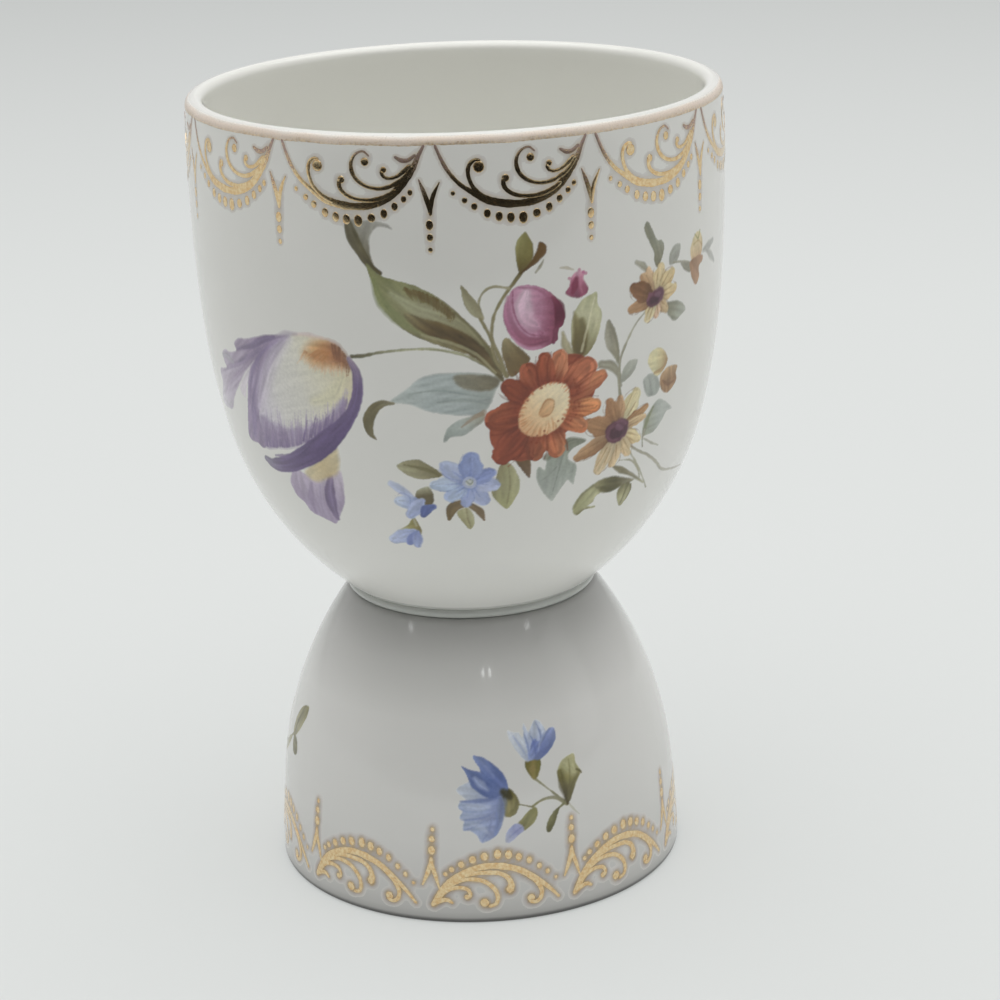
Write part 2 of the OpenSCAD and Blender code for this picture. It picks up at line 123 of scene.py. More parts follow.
def mesh_piece(name, points, faces, material=None, smooth=True):
    """A mesh object at the origin from points in millimetres."""
    mesh = bpy.data.meshes.new(name)
    mesh.from_pydata(np.asarray(points) * MM, [], faces)
    mesh.update()
    if smooth:
        mesh.shade_smooth()
    piece = bpy.data.objects.new(name, mesh)
    bpy.context.scene.collection.objects.link(piece)
    if material:
        mesh.materials.append(material)
    return piece


def settle(piece, slot, *nodes):
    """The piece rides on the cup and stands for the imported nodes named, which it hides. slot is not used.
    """
    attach(piece, "root")
    if nodes:
        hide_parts(*nodes)
    return piece


# Outlines of the two bowls. An arc is [radius of its centre, height of its centre, arc radius].


def arc_x(arc, z):
    return arc[0] + np.sqrt(arc[2] ** 2 - (z - arc[1]) ** 2)


def arc_n(arc, z):
    """Slope of the arc's normal at a height, as (outwards, upwards)."""
    return np.array([(arc_x(arc, z) - arc[0]) / arc[2], (z - arc[1]) / arc[2]])


def next_arc(arc, z, r):
    """The arc of radius r that carries on smoothly from another at height z."""
    out, up = arc_n(arc, z)
    return [arc_x(arc, z) - r * out, z - r * up, r]


def last_arc(arc, z, end_x, end_z):
    """The arc that carries on smoothly from another at height z and ends at (end_x, end_z)."""
    d = np.array([end_x - arc_x(arc, z), end_z - z])
    return next_arc(arc, z, -(d @ d) / (2 * (d @ arc_n(arc, z))))


def grown(arc, t):
    return [arc[0], arc[1], arc[2] + t]


class Wall:
    """The outside of a bowl. A place on it is x millimetres round from the front and y up along it."""

    SAMPLES = 4000

    def __init__(self, arcs):
        """arcs is a list of (height at which it starts, height at which it ends, arc), going up."""
        self.arcs = arcs
        self.z = np.linspace(arcs[0][0], arcs[-1][1], self.SAMPLES)
        self.r = np.zeros_like(self.z)
        for low, high, arc in arcs:
            inside = (self.z >= low) & (self.z <= high)
            self.r[inside] = arc_x(arc, self.z[inside])
        steps = np.hypot(np.diff(self.z), np.diff(self.r))
        self.y = np.concatenate([[0], np.cumsum(steps)])
        self.slope_r = np.gradient(self.r, self.y)
        self.slope_z = np.gradient(self.z, self.y)

    def place(self, x, y, lift=0.0):
        """Points in millimetres that lie lift outside the wall at (x, y)."""
        x, y = np.asarray(x, float), np.asarray(y, float)
        r = np.interp(y, self.y, self.r)
        out = np.interp(y, self.y, self.slope_z)
        up = -np.interp(y, self.y, self.slope_r)
        turn = x / r
        reach = r + lift * out
        height = np.interp(y, self.y, self.z) + lift * up
        return np.stack([reach * np.sin(turn), -reach * np.cos(turn), height], -1)

    def outward(self, x, y):
        return self.place(x, y, 1.0) - self.place(x, y, 0.0)


BELLY_Z = CUP_H - BELLY_DROP
bowl_turn_z = BELLY_Z - BOWL_TURN_DROP
bowl_round_z = BELLY_Z - BOWL_ROUND_DROP
bowl_side = [BELLY_R - BOWL_SIDE_ARC_R, BELLY_Z, BOWL_SIDE_ARC_R]
bowl_turn = next_arc(bowl_side, bowl_turn_z, BOWL_TURN_ARC_R)
bowl_round = last_arc(bowl_turn, bowl_round_z, BOWL_SEAT_R, BOWL_SEAT_Z)

foot_side_x = FOOT_RIM_R - math.sqrt(FOOT_SIDE_ARC_R**2 - FOOT_SIDE_DROP**2)
foot_side = [foot_side_x, -FOOT_SIDE_DROP, FOOT_SIDE_ARC_R]
foot_turn = last_arc(foot_side, FOOT_TURN_Z, FOOT_SEAT_R, FOOT_H)

LIP_Z = CUP_H - BOWL_WALL / 2
bowl_wall = Wall([(BOWL_SEAT_Z, bowl_round_z, bowl_round), (bowl_round_z, bowl_turn_z, bowl_turn),
                  (bowl_turn_z, CUP_H, bowl_side)])
foot_wall = Wall([(0, FOOT_TURN_Z, foot_side), (FOOT_TURN_Z, FOOT_H, foot_turn)])


def steps_between(a, b, step=OUTLINE_STEP):
    return np.linspace(a, b, max(2, int(abs(b - a) / step) + 1))


def arc_run(arc, a, b):
    """Points of an outline along an arc, from height a to height b."""
    return [(arc_x(arc, z), z) for z in steps_between(a, b)]


def round_run(x, z, r, start, end, count=14):
    """Points of an outline round a centre, from one direction to another, in degrees."""
    return [
        (x + r * math.cos(a), z + r * math.sin(a))
        for a in np.radians(np.linspace(start, end, count))
    ]


def corner(wall_arc, floor_z, r, side):
    """A corner of radius r between a wall and a floor: its centre, where it meets the wall, as a
    height, and in which direction from its centre, in degrees."""
    z = floor_z + side * r
    x = wall_arc[0] + math.sqrt((wall_arc[2] - r) ** 2 - (z - wall_arc[1]) ** 2)
    meeting_z = wall_arc[1] + wall_arc[2] * (z - wall_arc[1]) / (wall_arc[2] - r)
    return x, z, meeting_z, math.degrees(math.atan2(z - wall_arc[1], x - wall_arc[0]))


def turned(name, outline, material, closed=False):
    """A shape turned round the axis from outline points (radius, height) that run anticlockwise."""
    kept = [outline[0]]
    for p in outline[1:]:
        if math.dist(p, kept[-1]) > 1e-4:
            kept.append(p)
    turn = np.arange(TURN_STEPS) * math.tau / TURN_STEPS
    points, rings = [], []
    for r, z in kept:
        if r < 1e-6:
            rings.append([len(points)] * TURN_STEPS)
            points.append((0, 0, z))
        else:
            rings.append(range(len(points), len(points) + TURN_STEPS))
            points += [(r * math.sin(a), -r * math.cos(a), z) for a in turn]
    if closed:
        rings.append(rings[0])
    faces = []
    for low, high in zip(rings, rings[1:]):
        for i in range(TURN_STEPS):
            j = (i + 1) % TURN_STEPS
            face = list(dict.fromkeys((low[i], low[j], high[j], high[i])))
            faces.append(face)
    return mesh_piece(name, points, faces, material)


# Materials

GLAZE_THIN = "#E7E6E1"
GLAZE_THICK = "#E2E2DC"
# painted light: a lighter tint for the inside walls of the large bowl
INSIDE_PAINTED_LIGHT = "#EBEBE5"
# two greys of the slip at the joint: painted shade of the crease under the large bowl
SLIP_PALE_PAINTED_SHADE = "#C2C4BE"
SLIP_DEEP_PAINTED_SHADE = "#B2B5B0"
# painted shade of the small bowl, as a share of its tint at heights in millimetres: a dark band at its
# standing rim for the shadow where it meets the floor, and darker again towards the joint, in the shade of
# the large bowl
FOOT_PAINTED_SHADE = [
    (0, 0.1),
    (0.45, 0.16),
    (0.8, 0.58),
    (1.5, 0.71),
    (3, 0.79),
    (6, 0.84),
    (10, 0.9),
    (24, 0.91),
    (30, 0.75),
    (34.6, 0.55),
]
FOOT_COOLNESS = 1.015
GLAZE_ROUGHNESS = 0.09
GLAZE_IOR = 1.52
# patterns of the glaze, in millimetres: clouds of tint, waves of its surface and their depth, patches of the
# painted shade on the slip at the joint, and flecks of ground colour in the enamel
CLOUD_SIZE = 14
WAVE_SIZE = 5
WAVE_DEPTH = 0.05
SLIP_PATCH_SIZE = 2.5
FLECK_SIZE = 0.35
# painted light: a lighter tint comes in where a wall faces the axis, on the inside walls. It is whole where
# the distance from the axis times how squarely the wall faces it reaches this, in millimetres.
INSIDE_LEAN = 4


def glaze_colour(tree, place):
    """The glaze's own tint: clouds a few millimetres wide where it lies thin or pools."""
    cloud = add(tree, "ShaderNodeTexNoise", {"Vector": place, "Scale": 1 / (CLOUD_SIZE * MM), "Detail": 2.0})
    mixed = add(tree, "ShaderNodeMix",
                {0: cloud.outputs["Fac"], 6: colour(GLAZE_THIN), 7: colour(GLAZE_THICK)}, data_type="RGBA")
    return mixed.outputs[2]


def glaze_surface(tree, place, tint):
    """The gloss of a fired glaze over a colour: mirror-like, with a barely wavy surface."""
    wave = add(tree, "ShaderNodeTexNoise", {"Vector": place, "Scale": 1 / (WAVE_SIZE * MM), "Detail": 1.0})
    bump = add(tree, "ShaderNodeBump",
               {"Height": wave.outputs["Fac"], "Strength": 0.12, "Distance": WAVE_DEPTH * MM})
    surface = add(tree, "ShaderNodeBsdfPrincipled",
                  {"Base Color": tint, "Roughness": GLAZE_ROUGHNESS, "IOR": GLAZE_IOR,
                   "Normal": bump.outputs["Normal"]})
    add(tree, "ShaderNodeOutputMaterial", {"Surface": surface.outputs[0]})


def glazed_porcelain():
    """Hard-paste porcelain, cast and fired under a clear glossy glaze: a smooth, faintly green-grey
    white that mirrors the room. Inside the bowl it is painted a little lighter: painted light."""
    material, tree = new_material("glazed porcelain")
    spot = add(tree, "ShaderNodeTexCoord").outputs
    place = spot["Object"]
    level = add(tree, "ShaderNodeVectorMath", {0: place, 1: (1, 1, 0)}, operation="MULTIPLY")
    outward = add(tree, "ShaderNodeVectorMath", {0: level.outputs[0], 1: spot["Normal"]},
                  operation="DOT_PRODUCT")
    inner = add(tree, "ShaderNodeMapRange", {0: outward.outputs["Value"], 1: 0.0, 2: -INSIDE_LEAN * MM})
    tint = add(tree, "ShaderNodeMix",
               {0: inner.outputs[0], 6: glaze_colour(tree, place), 7: colour(INSIDE_PAINTED_LIGHT)},
               data_type="RGBA")
    glaze_surface(tree, place, tint.outputs[2])
    return material


def standing_porcelain():
    """The same glazed porcelain on the small bowl, darkened by height: painted shade where it stands and
    under the joint.
    """
    material, tree = new_material("glazed porcelain, standing end")
    place = add(tree, "ShaderNodeTexCoord").outputs["Object"]
    part = add(tree, "ShaderNodeSeparateXYZ", {0: place})
    top = FOOT_PAINTED_SHADE[-1][0]
    height = add(tree, "ShaderNodeMapRange", {0: part.outputs["Z"], 1: 0.0, 2: top * MM})
    painted_shade_ramp = add(tree, "ShaderNodeValToRGB", {0: height.outputs[0]})
    marks = painted_shade_ramp.color_ramp.elements
    while len(marks) < len(FOOT_PAINTED_SHADE):
        marks.new(0.5)
    for mark, (z, share) in zip(marks, FOOT_PAINTED_SHADE):
        mark.position = z / top
        mark.color = (share, share, FOOT_COOLNESS * share, 1)
    tint = add(tree, "ShaderNodeMix", {0: 1.0, 6: glaze_colour(tree, place), 7: painted_shade_ramp.outputs[0]},
               data_type="RGBA", blend_type="MULTIPLY")
    glaze_surface(tree, place, tint.outputs[2])
    return material


def wiped_slip():
    """Porcelain slip wiped round the joint, painted in two patchy greys: painted shade of the crease under
    the bowl.
    """
    material, tree = new_material("wiped slip")
    place = add(tree, "ShaderNodeTexCoord").outputs["Object"]
    patches = add(tree, "ShaderNodeTexNoise", {"Vector": place, "Scale": 1 / (SLIP_PATCH_SIZE * MM), "Detail": 2.0})
    mixed = add(tree, "ShaderNodeMix",
                {0: patches.outputs["Fac"], 6: colour(SLIP_DEEP_PAINTED_SHADE), 7: colour(SLIP_PALE_PAINTED_SHADE)}, data_type="RGBA")
    glaze_surface(tree, place, mixed.outputs[2])
    return material


def overglaze_enamel():
    """Vitrified colours fired on the glaze: they share its gloss, lie thin enough for the white to
    show through, and keep the marks of the brush. The painting is in the attribute "paint"."""
    material, tree = new_material("overglaze enamel")
    place = add(tree, "ShaderNodeTexCoord").outputs["Object"]
    paint = add(tree, "ShaderNodeAttribute", attribute_name="paint")
    fleck = add(tree, "ShaderNodeTexNoise", {"Vector": place, "Scale": 1 / (FLECK_SIZE * MM), "Detail": 2.0})
    grain = add(tree, "ShaderNodeMapRange", {0: fleck.outputs["Fac"], 1: 0.3, 2: 0.7, 3: 0.94, 4: 1.06})
    fired = add(tree, "ShaderNodeVectorMath", {0: paint.outputs["Color"], "Scale": grain.outputs[0]},
                operation="SCALE")
    mixed = add(tree, "ShaderNodeMix",
                {0: paint.outputs["Alpha"], 6: glaze_colour(tree, place), 7: fired.outputs[0]},
                data_type="RGBA")
    glaze_surface(tree, place, mixed.outputs[2])
    return material


GOLD = "#EBD6AE"
GOLD_GRAIN = 0.16


def gold_surface(name, low, high, film, deep, metal, roughness):
    """Gold over glaze. The attribute "laid" says how thick it lies: between low and high, grains of
    gold stand on a film too thin to mirror, and that film thins out to clear glaze."""
    material, tree = new_material(name)
    place = add(tree, "ShaderNodeTexCoord").outputs["Object"]
    laid = add(tree, "ShaderNodeAttribute", attribute_name="laid")
    grain = add(tree, "ShaderNodeTexNoise",
                {"Vector": place, "Scale": 1 / (GOLD_GRAIN * MM), "Detail": 2.0, "Roughness": 0.6})
    level = add(tree, "ShaderNodeMath", {0: grain.outputs["Fac"], 1: laid.outputs["Fac"]}, operation="ADD")
    cover = add(tree, "ShaderNodeMapRange", {0: level.outputs[0], 1: low, 2: high, 3: 0.0, 4: 1.0},
                interpolation_type="SMOOTHSTEP")
    tone = add(tree, "ShaderNodeTexNoise",
               {"Vector": place, "Scale": 1 / (2.4 * GOLD_GRAIN * MM), "Detail": 3.0})
    mottled = add(tree, "ShaderNodeMapRange", {0: tone.outputs["Fac"], 1: 0.35, 2: 0.65})
    leaf = add(tree, "ShaderNodeMix", {0: mottled.outputs[0], 6: colour(deep), 7: colour(GOLD)},
               data_type="RGBA")
    shown = add(tree, "ShaderNodeMapRange", {0: laid.outputs["Fac"], 1: 0.0, 2: 0.4})
    thin = add(tree, "ShaderNodeMix", {0: shown.outputs[0], 6: glaze_colour(tree, place), 7: colour(film)},
               data_type="RGBA")
    tint = add(tree, "ShaderNodeMix", {0: cover.outputs[0], 6: thin.outputs[2], 7: leaf.outputs[2]},
               data_type="RGBA")
    mirror = add(tree, "ShaderNodeMapRange", {0: cover.outputs[0], 3: metal[0], 4: metal[1]})
    rough = add(tree, "ShaderNodeMapRange",
                {0: grain.outputs["Fac"], 1: 0.3, 2: 0.7, 3: roughness * 0.7, 4: roughness * 1.4})
    bump = add(tree, "ShaderNodeBump",
               {"Height": grain.outputs["Fac"], "Strength": 0.12, "Distance": 0.02 * MM})
    surface = add(tree, "ShaderNodeBsdfPrincipled",
                  {"Base Color": tint.outputs[2], "Metallic": mirror.outputs[0],
                   "Roughness": rough.outputs[0], "Normal": bump.outputs["Normal"]})
    add(tree, "ShaderNodeOutputMaterial", {"Surface": surface.outputs[0]})
    return material


def fired_gold():
    """Liquid bright gold, brushed on and fired: it mirrors the room, so it looks black where the room
    is dark, and it goes rosy and grainy where it lies thin, towards the ends of the strokes."""
    return gold_surface("fired gold", 0.9, 1.25, "#A8908A", "#DDBB8A", (0.45, 1.0), 0.12)


def rubbed_gold():
    """The same gold where lips and cloths have rubbed it: a rose-brown film with some gold in it."""
    return gold_surface("rubbed gold", 1.0, 1.55, "#E4D5C6", "#B6976C", (0.05, 0.7), 0.3)


porcelain = glazed_porcelain()


# Body of the cup

lip_out = arc_x(bowl_side, LIP_Z)
lip_in = arc_x(grown(bowl_side, -BOWL_WALL), LIP_Z)
bowl_in_round = grown(bowl_round, -BOWL_WALL)
bowl_floor_z = BOWL_SEAT_Z + BOWL_FLOOR
bowl_corner = corner(bowl_in_round, bowl_floor_z, BOWL_CORNER_R, 1)
egg_bowl = turned(
    "egg_bowl_glazed",
    [(0, BOWL_SEAT_Z), (BOWL_SEAT_R, BOWL_SEAT_Z)]
    + arc_run(bowl_round, BOWL_SEAT_Z, bowl_round_z)
    + arc_run(bowl_turn, bowl_round_z, bowl_turn_z)
    + arc_run(bowl_side, bowl_turn_z, LIP_Z)
    + round_run((lip_out + lip_in) / 2, LIP_Z, (lip_out - lip_in) / 2, 0, 180)
    + arc_run(grown(bowl_side, -BOWL_WALL), LIP_Z, bowl_turn_z)
    + arc_run(grown(bowl_turn, -BOWL_WALL), bowl_turn_z, bowl_round_z)
    + arc_run(bowl_in_round, bowl_round_z, bowl_corner[2])
    + round_run(bowl_corner[0], bowl_corner[1], BOWL_CORNER_R, bowl_corner[3], -90)
    + [(0, bowl_floor_z)],
    porcelain,
)
settle(egg_bowl, "porcelain", "egg_bowl")

foot_in_turn = grown(foot_turn, -FOOT_WALL)
foot_roof_z = FOOT_H - FOOT_FLOOR
foot_corner = corner(foot_in_turn, foot_roof_z, FOOT_CORNER_R, -1)
rim_out = arc_x(foot_side, RIM_ROUND) - RIM_ROUND
rim_in = arc_x(grown(foot_side, -FOOT_WALL), RIM_ROUND) + RIM_ROUND
foot_bowl = turned(
    "foot_bowl_glazed",
    [(0, foot_roof_z)]
    + round_run(foot_corner[0], foot_corner[1], FOOT_CORNER_R, 90, foot_corner[3])
    + arc_run(foot_in_turn, foot_corner[2], FOOT_TURN_Z)
    + arc_run(grown(foot_side, -FOOT_WALL), FOOT_TURN_Z, RIM_ROUND)
    + round_run(rim_in, RIM_ROUND, RIM_ROUND, 180, 270)
    + round_run(rim_out, RIM_ROUND, RIM_ROUND, 270, 360)
    + arc_run(foot_side, RIM_ROUND, FOOT_TURN_Z)
    + arc_run(foot_turn, FOOT_TURN_Z, FOOT_H)
    + [(0, FOOT_H)],
    standing_porcelain(),
)
settle(foot_bowl, "porcelain", "foot_bowl")

slip_z = FOOT_H + SLIP_T / 2
slip = turned(
    "luting_slip_glazed",
    [(0, FOOT_H)] + round_run(SLIP_R - SLIP_T / 2, slip_z, SLIP_T / 2, -90, 90) + [(0, FOOT_H + SLIP_T)],
    wiped_slip(),
)
settle(slip, "slip", "luting_slip")


# Overglaze painting. Each colour is brushed on a canvas that lies on a bowl's wall, in millimetres
# round from the front and up along the wall, and each flower's share of it is fired on as a sheet.

CELL = 0.11
SHEET_DEPTH = 0.05
EDGE_LIFT = -0.008
PAINT_LIFT = 0.022
LIFT_GAIN = 1.6
SHEET_SHARP_ANGLE = 50
# cover from which a cell is painted at all, and from which a stroke takes a cell over for its group
LEAST_COVER = 0.04
OWNING_COVER = 0.3
# unevenness of the paint: cells of its grain, and width and length of a hair's mark
GRAIN_CELL = 0.45
HAIR_WIDTH = 0.16
HAIR_RUN = 2
PATCH_HAIR_RUN = 2.2


def pigment(code):
    """A six-digit sRGB colour as three shares, for mixing on the canvas."""
    return np.array([int(code[i : i + 2], 16) / 255 for i in (1, 3, 5)])


def to_linear(rgb):
    return np.where(rgb <= 0.04045, rgb / 12.92, ((rgb + 0.055) / 1.055) ** 2.4)


def eased(share):
    share = np.clip(share, 0, 1)
    return share * share * (3 - 2 * share)


def smooth_line(points, step=0.15, closed=False):
    """Close points along a smooth curve through the given ones."""
    p = np.asarray(points, float)
    if closed:
        p = np.vstack([p[-1], p, p[0], p[1]])
    else:
        p = np.vstack([2 * p[0] - p[1], p, 2 * p[-1] - p[-2]])
    runs = []
    for a, b, c, d in zip(p, p[1:], p[2:], p[3:]):
        t = np.arange(0, 1, step / max(math.dist(b, c), step))[:, None]
        curve = 2 * b + (c - a) * t + (2 * a - 5 * b + 4 * c - d) * t**2
        runs.append((curve + (3 * b - a - 3 * c + d) * t**3) / 2)
    return np.vstack(runs + [p[-2][None]])


def spread(values, share):
    """Reads a list of numbers at shares of its length."""
    return np.interp(share, np.linspace(0, 1, len(values)), values)


def table_at(table, row, column):
    """Reads a table at shares of its height and width, blending between entries."""
    r = np.clip(row, 0, 1) * (table.shape[0] - 1)
    c = np.clip(column, 0, 1) * (table.shape[1] - 1)
    r0, c0 = np.floor(r).astype(int), np.floor(c).astype(int)
    r1, c1 = np.minimum(r0 + 1, table.shape[0] - 1), np.minimum(c0 + 1, table.shape[1] - 1)
    fr, fc = r - r0, c - c0
    if table.ndim == 3:
        fr, fc = fr[..., None], fc[..., None]
    low = table[r0, c0] * (1 - fc) + table[r0, c1] * fc
    high = table[r1, c0] * (1 - fc) + table[r1, c1] * fc
    return low * (1 - fr) + high * fr


def hue_table(hues):
    """Colours along a stroke, each one code or several from its left side to its right."""
    rows = [[h] if isinstance(h, str) else list(h) for h in hues]
    width = max(len(row) for row in rows)
    share = np.linspace(0, 1, width)
    table = []
    for row in rows:
        tones = np.array([pigment(code) for code in row])
        if len(row) == 1:
            tones = np.repeat(tones, 2, 0)
        at = np.linspace(0, 1, len(tones))
        table.append(np.stack([np.interp(share, at, tones[:, i]) for i in range(3)], 1))
    if len(table) == 1:
        table *= 2
    return np.array(table)


class Canvas:
    """A rectangle of a wall that takes paint. Strokes go on in order, each over those before it."""

    def __init__(self, x0, x1, y0, y1, seed, cell=CELL):
        self.x = np.arange(x0, x1 + cell, cell)
        self.y = np.arange(y0, y1 + cell, cell)
        self.hue = np.ones((len(self.y), len(self.x), 3))
        self.cover = np.zeros((len(self.y), len(self.x)))
        self.owner = np.full((len(self.y), len(self.x)), -1)
        self.group = 0
        self.dice = np.random.default_rng(seed)
        rows, columns = int((y1 - y0) / GRAIN_CELL) + 2, int((x1 - x0) / GRAIN_CELL) + 2
        grain = self.dice.uniform(-1, 1, (rows, columns))
        gx, gy = np.meshgrid(np.linspace(0, 1, len(self.x)), np.linspace(0, 1, len(self.y)))
        self.grain = table_at(grain, gy, gx)
        self.origin, self.angle, self.scale = np.zeros(2), 0.0, 1.0

    def at(self, points):
        """Points of a drawing, moved to where that drawing goes on this canvas."""
        p = np.asarray(points, float) * self.scale
        c, s = math.cos(self.angle), math.sin(self.angle)
        return p @ np.array([[c, s], [-s, c]]) + self.origin

    def near(self, line, reach):
        """The cells round a line: their rows, their columns and their places."""
        (x0, y0), (x1, y1) = line.min(0) - reach, line.max(0) + reach
        columns = slice(*np.searchsorted(self.x, [x0, x1]))
        rows = slice(*np.searchsorted(self.y, [y0, y1]))
        gx, gy = np.meshgrid(self.x[columns], self.y[rows])
        return rows, columns, gx, gy

    def lay(self, rows, columns, hue, cover):
        under = self.cover[rows, columns]
        total = cover + under * (1 - cover)
        mixed = hue * cover[..., None] + self.hue[rows, columns] * (under * (1 - cover))[..., None]
        wet = total > 1e-4
        self.hue[rows, columns][wet] = mixed[wet] / total[wet][:, None]
        self.cover[rows, columns] = total
        owner = self.owner[rows, columns]
        owner[(cover > OWNING_COVER) | ((cover > LEAST_COVER) & (owner < 0))] = self.group

    def brush(self, points, widths, hues, soft=0.2, streak=0.1, cover=1.0, ragged=0.05, dry=0.0):
        """One stroke. widths and hues run along it. streak is how much the hairs of the brush show,
        dry how much glaze shows between them, and ragged how uneven its edge is, in millimetres."""
        line = smooth_line(self.at(points))
        if len(line) < 3:
            line = np.linspace(line[0], line[-1], 4)
        run = np.gradient(line, axis=0)
        run /= np.maximum(np.linalg.norm(run, axis=1), 1e-9)[:, None]
        length = np.concatenate([[0], np.cumsum(np.linalg.norm(np.diff(line, axis=0), axis=1))])
        share = length / length[-1]
        half = spread(widths, share) / 2 * self.scale
        rows, columns, gx, gy = self.near(line, half.max() + soft)
        if not gx.size:
            return
        off_x = gx[..., None] - line[:, 0]
        off_y = gy[..., None] - line[:, 1]
        away = off_x**2 + off_y**2
        k = away.argmin(-1)
        away = np.sqrt(np.take_along_axis(away, k[..., None], -1)[..., 0])
        ox, oy = gx - line[k, 0], gy - line[k, 1]
        side = np.where(run[k, 0] * oy - run[k, 1] * ox > 0, -1.0, 1.0)
        across = np.clip(side * away / np.maximum(half[k], 0.05), -1, 1) / 2 + 0.5
        hairs = (int(length[-1] / HAIR_RUN) + 2, int(half.max() / HAIR_WIDTH) + 2)
        hair = table_at(self.dice.uniform(-1, 1, hairs), share[k], across)
        edge = (half[k] - away + ragged * self.grain[rows, columns]) / soft + 0.5
        amount = cover * eased(edge) * (1 - dry * (0.5 + 0.5 * hair))
        hue = table_at(hue_table(hues), share[k], across) * (1 + streak * hair[..., None])
        self.lay(rows, columns, np.clip(hue, 0, 1), amount)

    def fill(self, outline, axis, hues, soft=0.25, streak=0.08, cover=1.0, ragged=0.06, dry=0.0):
        """A painted patch. hues run along its axis, given as two points, and across it."""
        line = smooth_line(self.at(outline), closed=True)
        rows, columns, gx, gy = self.near(line, soft)
        if not gx.size:
            return
        away = np.full(gx.shape, 1e9)
        inside = np.zeros(gx.shape, bool)
        for (ax, ay), (bx, by) in zip(line, np.roll(line, -1, 0)):
            away = np.minimum(away, (gx - ax) ** 2 + (gy - ay) ** 2)
            if ay != by:
                crossing = (bx - ax) * (gy - ay) / (by - ay) + ax
                inside ^= ((ay > gy) != (by > gy)) & (gx < crossing)
        away = np.where(inside, 1, -1) * np.sqrt(away)
        start, end = self.at(axis)
        way = (end - start) / math.dist(start, end)
        along = ((gx - start[0]) * way[0] + (gy - start[1]) * way[1]) / math.dist(start, end)
        lateral = (gx - start[0]) * way[1] - (gy - start[1]) * way[0]
        reach = np.abs((line - start) @ np.array([way[1], -way[0]])).max()
        across = np.clip(lateral / reach, -1, 1) / 2 + 0.5
        hairs = (int(math.dist(start, end) / PATCH_HAIR_RUN) + 2, int(reach / HAIR_WIDTH) + 2)
        hair = table_at(self.dice.uniform(-1, 1, hairs), along, across)
        edge = (away + ragged * self.grain[rows, columns]) / soft + 0.5
        amount = cover * eased(edge) * (1 - dry * (0.5 + 0.5 * hair))
        hue = table_at(hue_table(hues), along, across) * (1 + streak * hair[..., None])
        self.lay(rows, columns, np.clip(hue, 0, 1), amount)

    def hatch(self, start_line, end_line, count, width, hues, lengths=(0.5, 1.0), cover=0.7):
        """Short strokes from one line towards another, of uneven lengths."""
        a, b = smooth_line(start_line), smooth_line(end_line)
        for share in np.linspace(0, 1, count):
            share = np.clip(share + self.dice.uniform(-0.4, 0.4) / count, 0, 1)
            start = a[int(share * (len(a) - 1))]
            end = b[int(share * (len(b) - 1))]
            end = start + (end - start) * self.dice.uniform(*lengths)
            bend = (start + end) / 2 + self.dice.uniform(-0.12, 0.12, 2)
            thick = width * self.dice.uniform(0.6, 1.3)
            self.brush([start, bend, end], [thick, thick, thick * 0.3], hues, soft=0.16, cover=cover)

    def dots(self, places, size, hue, cover=0.8):
        for x, y in places:
            self.brush([(x - 0.03, y), (x, y + 0.02), (x + 0.03, y)], [size], [hue], 0.15, 0, cover)

    def petal(self, base, tip, width, hues, bend=0.0, shape=(0.45, 0.85, 1, 0.95, 0.7), **style):
        """A petal from its base to its tip, with its widest part towards the tip."""
        base, tip = np.array(base, float), np.array(tip, float)
        way = (tip - base) / math.dist(base, tip)
        end = tip - way * width * shape[-1] / 2
        middle = (base + end) / 2 + bend * np.array([-way[1], way[0]])
        self.brush([base, middle, end], [width * s for s in shape], hues, **style)


